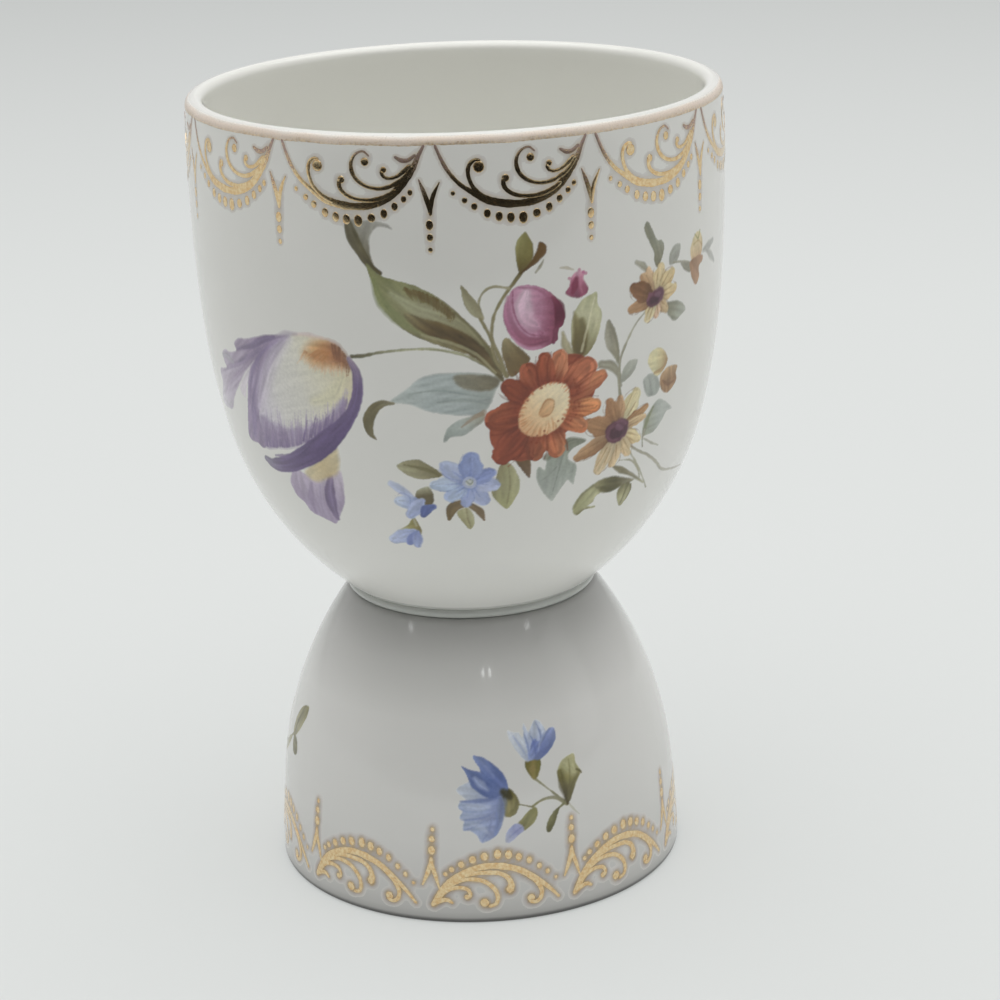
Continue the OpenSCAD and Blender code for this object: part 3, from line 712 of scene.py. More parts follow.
def fired_sheet(name, wall, canvas, group, material, turns=(0,)):
    """The part of a painting that belongs to one group, as a thin closed sheet on the wall. Its
    colour and its cover lie in the attribute "paint"."""
    owned = (canvas.owner == group) & (canvas.cover > LEAST_COVER)
    cells = owned[:-1, :-1] | owned[1:, :-1] | owned[:-1, 1:] | owned[1:, 1:]
    others = canvas.owner.copy()
    others[canvas.cover <= LEAST_COVER] = -1
    first = np.maximum.reduce([others[:-1, :-1], others[1:, :-1], others[:-1, 1:], others[1:, 1:]])
    cells &= first == group
    rows, columns = np.nonzero(cells)
    width = len(canvas.x)
    corners = [rows * width + columns, rows * width + columns + 1]
    corners += [corners[1] + width, corners[0] + width]
    used, where = np.unique(np.stack(corners, 1), return_inverse=True)
    where = where.reshape(-1, 4)
    y_at, x_at = np.divmod(used, width)
    cover = canvas.cover[y_at, x_at]
    hue = to_linear(canvas.hue[y_at, x_at])
    lift = EDGE_LIFT + (PAINT_LIFT - EDGE_LIFT) * eased(cover * LIFT_GAIN)
    padded = np.pad(cells, 1)
    sides = []
    for down, right, a, b in ((-1, 0, 0, 1), (0, 1, 1, 2), (1, 0, 2, 3), (0, -1, 3, 0)):
        open_side = ~padded[rows + 1 + down, columns + 1 + right]
        sides.append(np.stack([where[open_side, a], where[open_side, b]], 1))
    sides = np.vstack(sides)
    count = len(used)
    top = wall.place(canvas.x[x_at], canvas.y[y_at], lift)
    under = wall.place(canvas.x[x_at], canvas.y[y_at], -SHEET_DEPTH)
    faces = np.vstack([where, where[:, ::-1] + count])
    faces = np.vstack([faces, np.concatenate([sides + count, sides[:, ::-1]], 1)])
    points, all_faces = [], []
    for i, turn in enumerate(turns):
        a = math.radians(turn)
        spin = np.array([[math.cos(a), math.sin(a), 0], [-math.sin(a), math.cos(a), 0], [0, 0, 1]])
        points.append(np.vstack([top, under]) @ spin)
        all_faces.append(faces + i * 2 * count)
    piece = mesh_piece(name, np.vstack(points), np.vstack(all_faces).tolist(), material)
    piece.data.set_sharp_from_angle(angle=math.radians(SHEET_SHARP_ANGLE))
    paint = piece.data.attributes.new("paint", "FLOAT_COLOR", "POINT")
    tones = np.tile(np.column_stack([hue, cover]), (2 * len(turns), 1))
    paint.data.foreach_set("color", tones.ravel())
    return piece


# Flowers of the front, in the order of painting: what lies behind comes first

TULIP, RED_FLOWER, ROSEBUD, DAISIES, FORGET_ME_NOTS, LEAVES = range(6)


def bouquet_leaves(c):
    """Olive, brown and blue-grey leaves with the stems between them."""
    c.group = LEAVES
    # stem of the tulip
    c.brush([(-12.4, 39.2), (-11, 39.4), (-9, 39.9), (-6, 40.3), (-3, 40.3), (0, 39.6), (2.5, 38.2),
             (4, 36.6)], [0.5, 0.3, 0.3, 0.32, 0.4, 0.5], ["#66624A", "#A3A384", "#A6A688", "#8E8A66"],
            streak=0.15)
    # blue-grey leaf that points at the tulip, and its leaflet
    c.fill([(-8.2, 34.2), (-6.5, 35.6), (-5, 36.9), (-3, 37.5), (0, 37.6), (2.3, 37.3), (3.8, 36.6),
            (3.2, 35), (2.6, 33.6), (1.4, 32.6), (-1.5, 32.7), (-4, 33.1), (-6, 33.9)],
           [(-8, 34.2), (3.5, 36)], ["#B9C1BC", "#AFB9B7", "#AAB4B2", "#9BA29B"], soft=0.45, dry=0.1)
    c.fill([(-1, 37.3), (1.5, 37.3), (3.8, 36.7), (3, 35.5), (0.8, 35.5), (-0.8, 36.2)],
           [(-1, 37), (3.6, 36)], ["#8C8874", "#736B54"], soft=0.5, cover=0.9)
    c.brush([(-6, 35.2), (-3, 35.6), (0, 35.1), (2.6, 34.6)], [0.2, 0.3, 0.2], ["#8F9994"], cover=0.6)
    c.brush([(-3, 34.2), (0, 34.4), (2.4, 33.8)], [0.2, 0.5, 0.3], ["#9AA39D"], cover=0.6)
    c.fill([(-2.5, 29.4), (-2.2, 30.8), (-1.2, 31.8), (0.3, 32.4), (1.9, 32.9), (1.9, 31.8), (0.9, 31),
            (-0.3, 30.2), (-1.6, 30)], [(-2.4, 29.6), (2, 32.4)], ["#9BA39C", "#B4BCB6", "#A39F8E"],
           soft=0.35)
    c.brush([(-0.5, 31.2), (0.8, 32.2), (2, 32.9)], [0.2, 0.4, 0.6], ["#A58F78"], cover=0.6)
    # olive crescent
    c.brush([(-7.9, 34), (-9.2, 33.9), (-10.3, 33), (-10.9, 31.6), (-10.7, 30.2), (-10.1, 29.5)],
            [0.3, 0.9, 1.25, 1.4, 1.0, 0.2], ["#88836A", "#736B4C", "#6B6446", "#7C7456"], streak=0.12)
    # large leaf: its twisted top, its blade, the brown bands
    c.fill([(-12.2, 54.4), (-10.4, 54.5), (-9, 54.5), (-7.6, 54.1), (-7.2, 53.6), (-8.4, 53.9), (-9.2, 53.5),
            (-9.7, 52.6), (-9.7, 51), (-9.4, 49.6), (-10.4, 50.6), (-11.2, 52.2)],
           [(-8, 54), (-10, 50)], ["#A8A79F", "#9A988C", "#77715C"], soft=0.4)
    c.brush([(-12.1, 54.3), (-11.6, 52.6), (-10.7, 50.9), (-9.8, 49.6), (-8.7, 48.8)],
            [0.9, 1.5, 1.2, 0.9, 0.5], ["#7A7563", "#6C6752", "#625B43", "#544C32"], streak=0.14)
    c.fill([(-10.2, 49.8), (-9.6, 47.5), (-9, 45.6), (-7.5, 43.6), (-5.5, 42), (-2.5, 40.7), (0.5, 39.6),
            (2.6, 38.2), (4.2, 36.2), (3.9, 38), (3, 40.2), (1.5, 42.2), (-0.3, 44.2), (-2.3, 46),
            (-4.5, 47.3), (-6.8, 48), (-8.8, 48.6)], [(-9.5, 48.5), (4, 37)],
           ["#7F8156", "#8F9068", "#8C8863", "#7F7757", "#81764F", "#71674A"], streak=0.1)
    c.brush([(-9.5, 48), (-8.7, 45.6), (-6.8, 43.6), (-4.2, 42.2)], [0.6, 1.3, 1.2, 0.4],
            ["#868C5C", "#8D9265"], soft=0.6, cover=0.8)
    c.brush([(-7.6, 46.6), (-5, 44.9), (-2, 43.9), (1, 42), (3.2, 38.6)], [0.6, 1.7, 1.3, 0.9, 0.3],
            ["#A9A988", "#ABAA8C", "#9C9A78", "#8C8765"], soft=0.7, cover=0.75)
    c.fill([(-6.2, 44.4), (-4, 43.8), (-1.5, 43), (0.8, 41.7), (2.3, 40.2), (3.4, 38.4), (4, 36.8),
            (2.6, 38), (0.8, 39.6), (-1.5, 40.9), (-4, 42.1), (-5.6, 43.2)], [(-6, 44), (3.8, 37)],
           ["#837A58", "#6A5836", "#5C4B2C", "#5E4E32", "#6E6344"], soft=0.4, streak=0.2)
    c.hatch([(-6, 47.2), (-4, 46.6), (-2.2, 45.6), (-0.9, 44.2)],
            [(-5.2, 45.8), (-3.4, 44.8), (-2, 43.8), (-1.2, 43)], 26, 0.28, ["#665530", "#77693F"],
            cover=0.75)
    c.brush([(-6.2, 47), (-4.4, 46.4), (-2.6, 45.2), (-1.2, 43.8)], [0.2, 0.8, 0.7, 0.2], ["#6B5B34"],
            cover=0.6)
    c.brush([(-4.4, 42), (-1, 40.9), (1.5, 39.5), (3.4, 37.4)], [0.2, 0.4, 0.35, 0.2], ["#A9A782"],
            cover=0.8)
    c.brush([(-0.8, 44.4), (1, 42.6), (2.5, 40.4), (3.6, 38)], [0.2, 0.35, 0.3, 0.3], ["#6F6A49"], cover=0.6)
    # sprig above the rosebud, its stems and leaves
    c.brush([(4.6, 37), (3.4, 39), (3.1, 41.5), (3.3, 43.5), (4.1, 45.3), (5.2, 46.8), (6.3, 48.2),
             (7, 49.5)], [0.55, 0.45, 0.4, 0.35, 0.4, 0.5], ["#857B58", "#948C6A", "#8D8560", "#6F6442"])
    c.brush([(2.2, 43.6), (1.8, 45.2), (2.3, 46.5), (3.5, 47.1), (5.1, 46.8)], [0.3, 0.28, 0.3], ["#A19B7E"])
    c.brush([(0.6, 45.6), (1.6, 44.2), (2.8, 41.8), (3.9, 39), (4.5, 37)], [0.3, 0.45, 0.5], ["#8E8662"])
    c.fill([(0, 47.4), (0.1, 45.8), (0.6, 44.6), (1.5, 43.7), (2.1, 44), (1.9, 45), (1.2, 46)],
           [(0, 47.2), (1.8, 44)], [("#8E8868", "#ABA789")], soft=0.25)
    c.fill([(6.9, 52.8), (6.1, 51.8), (5.9, 50.4), (6.1, 49), (6.4, 48.2), (7.1, 48.8), (7.8, 49.8),
            (7.9, 51.3), (7.4, 52.4)], [(6.9, 52.6), (6.5, 48.4)],
           [("#8A8355", "#B0AE7E"), ("#857D51", "#9A9566"), "#6A5D3A"])
    c.fill([(6.4, 48.3), (7.6, 49.6), (8.2, 50.6), (8.6, 51.6), (9.3, 51.2), (9.3, 50.3), (8.6, 49.6),
            (7.8, 49)], [(6.5, 48.5), (9, 51.2)], ["#5F4A2C", "#6E5738", "#7C6244"])
    c.brush([(8.1, 48.3), (8.7, 49), (9, 49.6)], [0.2, 0.35, 0.2], ["#A6A290"])
    # leaves round the red flower
    c.fill([(4.3, 41.1), (4.9, 41.2), (5.6, 40.5), (6.6, 39.6), (7.2, 38.6), (6.4, 37.6), (5, 36.8),
            (4.4, 38.4), (4.1, 39.8)], [(4.4, 41), (6.6, 38)], ["#958A66", "#7C6C4A", "#75623F"])
    c.brush([(11, 41.2), (11.3, 39.8), (12, 38.6)], [0.4, 1.0, 0.8], ["#A9A284"], soft=0.35)
    c.fill([(12, 42), (12.6, 43.6), (13.4, 44.6), (14.6, 45.1), (15.2, 45.2), (15.3, 44), (15.8, 42.8),
            (15.5, 41), (14.8, 39.4), (13.7, 38.2), (12.4, 38.2), (12, 39.8)], [(14.8, 45), (12.8, 38.5)],
           ["#B9B994", "#C6C5A2", "#ADAA86", "#7C744E"])
    c.fill([(12.3, 43.4), (12.2, 41), (12.2, 39), (13.4, 38.4), (14, 40.2), (13.6, 42.4), (12.9, 42.6)],
           [(12.8, 43), (12.8, 38.6)], ["#8F8860", "#756A43", "#685C38"], soft=0.6)
    c.brush([(14.9, 44.6), (14, 41.6), (13.2, 38.8)], [0.15, 0.25, 0.3], ["#DAD7BC"], cover=0.6)
    c.fill([(16.3, 41.4), (16.8, 41.8), (17.4, 40.8), (17.9, 39.4), (18.1, 37.8), (18, 36.2), (17.2, 37.6),
            (16.4, 38.6), (16.1, 39.6), (16.2, 40.6)], [(16.8, 41.6), (18, 36.6)],
           [("#7F7C66", "#A6A292"), ("#8A8770", "#B0AC9C"), "#8C8973"], soft=0.35)
    c.brush([(15.7, 36.8), (17, 36.4), (18, 35.2), (18.3, 33.8)], [1.0, 1.2, 0.7, 0.3],
            ["#A3A08E", "#918E7A"], soft=0.35)
    c.fill([(18.2, 34.2), (18.6, 35.6), (19.4, 36.5), (20.7, 36.4), (20.2, 35.2), (19.2, 34.4)],
           [(20.6, 36.4), (18.3, 34.4)], ["#B3B5AA", "#A3A598"], soft=0.3)
    c.brush([(22.2, 42), (20.4, 40.6), (19, 38.6), (18.2, 36.8), (18, 34.4), (18.2, 32.5)],
            [0.25, 0.35, 0.4], ["#AFAC9A", "#9A9782"])
    c.fill([(21.8, 51.2), (22.3, 51.9), (23, 51), (23.8, 49.6), (24.6, 49.4), (25, 48.6), (24.6, 47.4),
            (23.9, 46.4), (23.4, 47), (23.2, 48.4), (22.4, 49.8)], [(22.3, 51.6), (23.9, 46.8)],
           [("#9B9D8E", "#7F7E68"), ("#A3A596", "#75745C"), ("#8A8873", "#7F7C64")])
    c.brush([(20.6, 47.6), (21.5, 47.1), (22.3, 46.3)], [0.5, 0.9, 0.5], ["#ABA897"], soft=0.35)
    c.fill([(25.9, 46.4), (26, 47.6), (26.9, 48.4), (28, 48.2), (27.7, 47), (26.9, 46.3)],
           [(27.8, 48.2), (26, 46.5)], ["#AAABA2", "#A1A296"], soft=0.3)
    c.fill([(25, 41.9), (26.2, 42.1), (27.6, 41.8), (28.7, 41.2), (29.1, 40.4), (28.2, 40), (27, 39.6),
            (26, 40.2), (25.4, 41)], [(25, 41.8), (29, 40.4)], ["#838270", "#8E8F7C", "#A4A797", "#B0B2A6"],
           soft=0.35)
    c.brush([(26.6, 46.4), (28.4, 46.2), (30, 45.7)], [0.25, 0.3, 0.25], ["#A8A694"])
    c.fill([(27.9, 46.3), (29.2, 46), (30.2, 45.6), (30.2, 44.6), (29.4, 44.8), (28.5, 45.4)],
           [(28, 46.2), (30.2, 44.8)], ["#A2A091", "#8A8776"], soft=0.3)
    c.brush([(33.3, 46.4), (34.8, 46.6), (36.4, 46.9)], [0.5, 1.2, 0.6], ["#B2B2AA", "#BCBCB5"], soft=0.4)
    c.brush([(34.4, 46.2), (35.8, 45.2), (37, 44.3)], [0.5, 1.1, 0.5], ["#B4B4AC", "#BFBFB8"], soft=0.4)
    c.fill([(21.6, 33.6), (22.6, 34.3), (23.8, 33.8), (24.4, 32.6), (24, 31.6), (22.8, 31.4), (22, 32)],
           [(22.6, 34.2), (23.2, 31.6)], ["#AEB2AA", "#A3A8A0"], soft=0.4)
    c.fill([(21.6, 26.8), (22.2, 28.6), (23, 29.8), (24.2, 30.7), (25.4, 30.2), (26.9, 28.9), (25.8, 28.7),
            (25, 27.8), (23.8, 26.8), (22.6, 26.6)],
           [(22, 28.6), (26.6, 28.8)], ["#A3A794", "#B2B7AF", "#B9BDB6"], soft=0.35)
    c.brush([(21.8, 26.8), (22.3, 28.6), (23.3, 29.9)], [0.3, 0.8, 0.3], ["#868A6A"], soft=0.4, cover=0.8)
    c.brush([(22, 27.4), (21.7, 26.2), (21.8, 25.2)], [0.4, 0.3, 0.2], ["#A8A694"])
    # tendrils at the lower right
    c.brush([(19.6, 26), (21, 24.9), (22.6, 23.9), (24.4, 22.4), (26, 20.7), (29, 19.7), (32.6, 18.9)],
            [0.3, 0.4, 0.45, 0.4, 0.3], ["#A9A591", "#AFAC9C", "#BAB7AB"])
    c.brush([(22, 26.2), (23.3, 25.3), (24.6, 24.6)], [0.25, 0.35, 0.2], ["#B3B1A2"])
    c.brush([(19.8, 25), (21, 23), (22.1, 20.9), (23, 19)], [0.25, 0.3, 0.2], ["#ABA893"])
    c.brush([(18.2, 24.3), (19.9, 23.9), (21, 22.7), (21.6, 21)], [0.15, 0.28, 0.28, 0.2],
            ["#AAA692", "#A19D85"])
    c.brush([(17, 23.9), (18.4, 23), (20, 21.9), (21.4, 20.8), (22.4, 19.9)], [0.2, 1.0, 0.55, 0.45, 0.2],
            ["#8A8469", "#857E62", "#9A957C", "#B9B695"], soft=0.3, streak=0.14)
    c.fill([(12.5, 17.8), (11.9, 18.9), (12.5, 20.2), (13.6, 21.3), (15.2, 22), (16.2, 21.6), (15.8, 20.6),
            (15, 20.1), (14.6, 19.3), (13.9, 18.9), (14.9, 18.7), (14.8, 18.4), (13.5, 18.5)],
           [(12.4, 18), (16, 21.8)], [("#8F8D66", "#A9A87F"), ("#9C9B74", "#C5C49B"), ("#A09F78", "#C9C8A2"),
                                      ("#8A8762", "#A5A27E")], soft=0.35, streak=0.12)
    c.brush([(12.6, 18), (13.4, 18.5), (14.9, 18.6)], [0.3, 0.22, 0.12], ["#77744E"], cover=0.7)
    c.brush([(12.1, 19), (13, 20.7), (14.6, 21.8)], [0.15, 0.28, 0.3], ["#7F7C57"], soft=0.3, cover=0.7)
    c.fill([(14.8, 21.9), (16, 22.4), (17.6, 22.3), (19.2, 21.7), (20.6, 21), (19.6, 20.6), (18, 20.4),
            (16.9, 20.2), (15.8, 20.4), (15.2, 21)], [(15.2, 21.6), (20.4, 21)],
           ["#8D8965", "#6B6744", "#5F5A3A", "#7A7459", "#8F8A6E"], soft=0.4, streak=0.14)
    c.brush([(15.8, 21), (17, 20.6), (18.4, 20.9)], [0.5, 0.9, 0.4], ["#57532F"], soft=0.5, cover=0.7)
    c.fill([(19.6, 20.8), (18.4, 20.5), (18, 19.4), (18.2, 18.4), (18.6, 17.5), (19.4, 18.1), (20.1, 19.2),
            (20.3, 20.2)], [(19.4, 20.8), (18.7, 17.6)],
           [("#7A7652", "#6B6744"), ("#A8A67F", "#7F7B55"), ("#B9B78E", "#A5A27B"), ("#A9A782", "#9C9972")],
           soft=0.3, streak=0.14)
    c.brush([(19.8, 20.6), (19.2, 19.4), (18.7, 18)], [0.3, 0.2, 0.12], ["#67633F"], cover=0.75)
    c.brush([(20.2, 20.4), (20.1, 19.3), (19.3, 18.1)], [0.3, 0.25, 0.1], ["#67633F"], cover=0.7)
    # blue-grey and olive leaves below the red flower
    c.fill([(9.3, 20.7), (8.5, 21.8), (7.9, 23), (7.6, 24.4), (7.9, 25.5), (8.6, 25), (8.9, 26.4),
            (10, 27.8), (11.2, 28.6), (12.6, 28.4), (13.6, 27.9), (11.8, 27.1), (11.4, 26), (12.4, 25),
            (12.2, 23.4), (12, 22.5), (11.3, 23.2), (10.5, 22.2), (9.8, 21.2)], [(11, 28.4), (9.5, 21)],
           ["#868A78", "#A1A89D", "#A9AFA6", "#B0B5AC"], soft=0.35)
    c.brush([(8.8, 26.6), (10.6, 27.8), (12, 28.3), (13.4, 28)], [0.8, 1.0, 0.8, 0.3],
            ["#787B66", "#85887A"], soft=0.5, cover=0.85)
    c.brush([(11, 27.4), (10.2, 24.6), (9.4, 21.6)], [0.3, 0.2, 0.15], ["#8A9187"], cover=0.7)
    c.brush([(8, 23.6), (9, 24.2), (10, 25.2)], [0.1, 0.2, 0.15], ["#8A9187"], cover=0.7)
    c.fill([(4.2, 20.3), (3.3, 21.2), (2.6, 22.4), (2.7, 23.6), (3.2, 25), (3.6, 26.2), (4.6, 26.4),
            (5.3, 25.4), (5.7, 24), (5.6, 22.6), (5, 21.4)], [(4.2, 26), (4.2, 20.6)],
           [("#B3B28C", "#7D7754"), ("#B6B58E", "#8C8864"), ("#B9B889", "#A4A376")])
    c.brush([(4.5, 25.8), (4.6, 23.6), (4.2, 21)], [0.15, 0.2, 0.15], ["#807C58"], cover=0.7)
    c.fill([(5.2, 26.8), (5.8, 25.6), (6.8, 24.2), (7, 25.6), (6.9, 27), (6, 27.6)],
           [(5.8, 27), (6.8, 24.6)], ["#6C5639", "#77614A"])
    # leaf and calyces of the forget-me-nots
    c.fill([(-7.9, 26.3), (-6.8, 27), (-5.4, 27.2), (-4.2, 26.5), (-2.8, 25.3), (-4, 24.8), (-5.4, 24.7),
            (-6.8, 25.2)], [(-7.8, 26.2), (-3, 25.4)],
           [("#A29E7C", "#B5B293"), ("#8A8462", "#ABA787"), ("#6F6845", "#8E8864")])
    c.brush([(-7, 26.5), (-5, 26.1), (-3.2, 25.3)], [0.2, 0.5, 0.4], ["#77704D"], soft=0.3, cover=0.8)
    c.fill([(-6, 22.2), (-5.6, 23.3), (-4.5, 23.7), (-3.9, 22.7), (-4.1, 21.3), (-5.2, 21.3)],
           [(-5, 23.6), (-4.6, 21.4)], ["#B5B59A", "#6F6549", "#675D40"])
    c.fill([(-8.2, 17.2), (-7, 18.2), (-6.3, 19.4), (-5.8, 18.6), (-5.4, 17.4), (-5.7, 16.6), (-6.6, 17)],
           [(-8, 17.2), (-5.5, 18)], ["#C0C0A8", "#A19B66", "#857A4C"])
    c.brush([(-6.5, 20), (-6.3, 19.2), (-6, 18.2)], [0.3, 0.25, 0.3], ["#A8A486"])
    c.brush([(-0.6, 21.5), (-1.8, 20.8), (-2.3, 19.2)], [1.1, 1.4, 0.4], ["#7E6C50", "#77643F"])
    c.brush([(0.3, 21), (1.1, 20.3), (1.6, 18.9)], [0.8, 1.0, 0.3], ["#806E52"])
    c.fill([(-1.4, 20.2), (-0.7, 18.6), (0, 17.6), (0.5, 18.4), (0.4, 19.8), (-0.2, 20.8)],
           [(-0.4, 20.8), (0, 17.8)], [("#C2BFA0", "#A9A57C"), ("#B5B38C", "#8B8660")])
    c.brush([(-0.3, 20.6), (-0.2, 19.2), (0.1, 18)], [0.15], ["#857C5A"], cover=0.7)


def tulip(c):
    """Violet flamed tulip: two wings at the left, a cream cup with an orange base, and a dark petal
    wrapped round its right side."""
    c.group = TULIP
    c.fill([(-20.6, 40.8), (-23, 40.4), (-25, 40), (-27.5, 39.2), (-29.5, 38.8), (-30.6, 38), (-30.3, 37.2),
            (-32, 36.6), (-33, 36.7), (-34, 36.2), (-34, 35.2), (-33.5, 34.3), (-35.5, 33.8), (-36, 33),
            (-35.8, 31.8), (-37, 30), (-37.6, 28.7), (-35, 28.6), (-33.5, 29.1), (-32.4, 30.8), (-31, 32.4),
            (-29.5, 34), (-28, 35.5), (-25.5, 37.5), (-23, 39), (-21, 40.2)], [(-21, 40.4), (-37, 29)],
           ["#8A7C98", "#93849F", "#A597AD", "#B0A3B7", "#B9ADBF", "#CBC4CF"], soft=0.4, streak=0.09,
           dry=0.1)
    c.brush([(-20.9, 40.5), (-24, 39.8), (-27, 38.4), (-30, 37.4)], [0.3, 0.9, 0.9, 0.3],
            ["#7E7090", "#887A96"], soft=0.4, cover=0.8, streak=0.15)
    c.brush([(-22.4, 39.6), (-26, 37.9), (-29, 36.2), (-31.6, 35), (-34.8, 33.6)], [0.3, 0.7, 0.8, 0.6, 0.2],
            ["#7F718F", "#8D7F9B", "#A194AB"], soft=0.4, cover=0.7, streak=0.15)
    c.brush([(-28, 36.2), (-31, 33.9), (-33.6, 32), (-35.6, 30.2)], [0.3, 0.5, 0.7, 0.3],
            ["#A193AB", "#AFA0B5"], soft=0.5, cover=0.6, streak=0.15)
    c.brush([(-34, 35.8), (-32.8, 36), (-31.4, 35.6)], [0.6, 1.0, 0.6], ["#A7A5AB"], soft=0.5, cover=0.6)
    c.brush([(-36.6, 29.6), (-34.8, 29.2), (-33.4, 30)], [0.3, 0.6, 0.5], ["#AFABB1"], soft=0.4, cover=0.5)
    c.fill([(-25.6, 37.4), (-28, 35.4), (-29.4, 33.9), (-30.4, 32.6), (-29.4, 31.6), (-28.6, 33.4),
            (-27.4, 35.4), (-25.4, 37.2)], [(-26, 37), (-30, 32.6)], ["#CFC5D2", "#DAD2DA"], soft=0.4,
           cover=0.8)
    # left petal of the cup
    c.fill([(-21, 40.5), (-23.5, 39.5), (-25.5, 37.9), (-27.3, 35.9), (-28.3, 33.9), (-29, 31),
            (-29.6, 28.5), (-30, 26.6), (-29.4, 25.9), (-28, 25.9), (-27, 25.5), (-26.2, 26), (-26.2, 28),
            (-26.6, 29.8), (-26.1, 31.6), (-25.2, 33.6), (-24.3, 35.4), (-23.2, 37.2), (-21.8, 38.6),
            (-20.4, 39.6)], [(-22, 40), (-28.6, 26)],
           [("#B0A4BA", "#8D7F9B"), ("#A79AB1", "#9A8CA6"), ("#9D8EAA", "#A99CB4"), ("#9686A3", "#9D8EAA"),
            ("#8C7D99", "#94859F")], soft=0.35, streak=0.1)
    c.brush([(-22.4, 39.8), (-25.4, 37.6), (-27.4, 34.6), (-28.4, 31)], [0.2, 0.5, 0.6, 0.3],
            ["#85769A", "#8D7E9C"], soft=0.35, cover=0.7)
    c.brush([(-25.6, 36.4), (-27, 33), (-27.8, 30), (-28.4, 27)], [0.3, 0.9, 1.1, 0.7],
            ["#8F80A0", "#85769A"], soft=0.5, cover=0.6, streak=0.15)
    c.brush([(-23, 38.2), (-24.8, 35.8), (-26, 33), (-26.4, 30.6)], [0.3, 0.4, 0.3], ["#B5AABF"], cover=0.6)
    # cream cup
    c.fill([(-20.4, 40.7), (-19, 41.1), (-17, 41.1), (-15, 40.7), (-13.7, 40), (-12.9, 39), (-12.5, 37.6),
            (-12.3, 36), (-12.7, 34), (-13.7, 32), (-15.2, 30.2), (-17.5, 28.8), (-20, 27.6), (-22, 26.8),
            (-24, 26.4), (-26, 26), (-26.4, 28), (-26.8, 29.6), (-26.2, 31.6), (-25.1, 34), (-23.8, 36.3),
            (-22.1, 38.6)], [(-12.5, 36), (-26, 32)],
           ["#DDD4B7", "#DEDAC4", "#DCDAD0", "#DBD9D4", "#D2CDD6"], soft=0.35, streak=0.03)
    c.brush([(-13.6, 36.8), (-15, 34.4), (-17.6, 33.4)], [1.0, 2.2, 1.0], ["#DAD6B4"], soft=1.2, cover=0.5)
    c.fill([(-26.6, 30), (-24, 29.4), (-21, 29.4), (-18.6, 30.2), (-16, 31.8), (-14, 34), (-13.4, 33),
            (-15.2, 30), (-17.5, 28.6), (-20, 27.4), (-22, 26.6), (-24, 26.2), (-26.4, 25.9)],
           [(-26.6, 28), (-14, 33)], ["#9C8EAA", "#A99CB5", "#AA9DB6", "#AFA2B9"], soft=0.9, cover=0.85)
    c.hatch([(-26.4, 26), (-24, 26.4), (-22, 26.9), (-20, 27.7), (-17.5, 29), (-15.2, 30.5), (-13.6, 32.8)],
            [(-26, 31.4), (-23.6, 32), (-21.4, 31.6), (-19, 32.2), (-16.6, 33.4), (-14.6, 34.6),
             (-13, 35.8)], 74, 0.3, ["#877898", "#9C8EAA", "#BCB2C6"], lengths=(0.35, 1.0), cover=0.6)
    c.hatch([(-26.2, 26.2), (-24, 26.6), (-22, 27.1)], [(-25.4, 30.4), (-23.8, 30.4), (-22, 30)],
            14, 0.5, ["#857697", "#93849F"], lengths=(0.4, 0.9), cover=0.5)
    c.hatch([(-19.8, 28), (-18, 29), (-15.6, 30.6)], [(-18.8, 31), (-17.2, 32), (-14.8, 33.4)],
            9, 0.35, ["#77688B", "#8F80A0"], lengths=(0.5, 1.0), cover=0.7)
    c.brush([(-20.6, 40.4), (-22.6, 38.4), (-24.4, 35.6), (-25.6, 33), (-26.4, 31)],
            [1.0, 2.0, 2.4, 2.4, 1.6],
            [("#DAD6D8", "#BDB3C4"), ("#D8D3D8", "#B8ADC0"), ("#D2CBD4", "#B5A9BE")], soft=1.2, cover=0.75,
            streak=0.1)
    # orange base of the cup
    c.fill([(-18.8, 38.9), (-17.6, 40.3), (-15.5, 40.8), (-13.8, 40.2), (-13, 38.8), (-13.1, 37.8),
            (-14.4, 38), (-16, 37.9), (-17.6, 37.8)], [(-18.8, 38.8), (-13, 39)],
           ["#E0C79F", "#D2A878", "#C28C5A", "#A8704C", "#8C6148"], soft=1.5, cover=0.95)
    c.hatch([(-18.4, 39.2), (-16.6, 38.6), (-15, 38.2), (-13.4, 38.4)],
            [(-19.6, 37.6), (-17.8, 36.7), (-15.4, 36.3), (-13.2, 36.7)],
            34, 0.24, ["#C38F62", "#D3A983", "#DCBE98"], lengths=(0.4, 1.0), cover=0.5)
    c.hatch([(-16.6, 39.6), (-15, 39.4)], [(-18.6, 38.4), (-17, 37.4)], 9, 0.2, ["#B87F50"], cover=0.5)
    c.hatch([(-14.8, 40.4), (-13.6, 39.8), (-12.9, 38.6)], [(-14.4, 37.6), (-13.6, 37.2), (-13, 36.6)],
            10, 0.3, ["#7F563E", "#95684A"], cover=0.7)
    c.brush([(-19.8, 41), (-18, 41.2), (-16, 41)], [0.3, 0.6, 0.3], ["#D3B9B4"], soft=0.5, cover=0.5)
    c.brush([(-22.5, 40.4), (-21, 40.9), (-19.4, 41.1)], [0.3, 0.8, 0.3], ["#B3AAB4"], soft=0.5, cover=0.6)
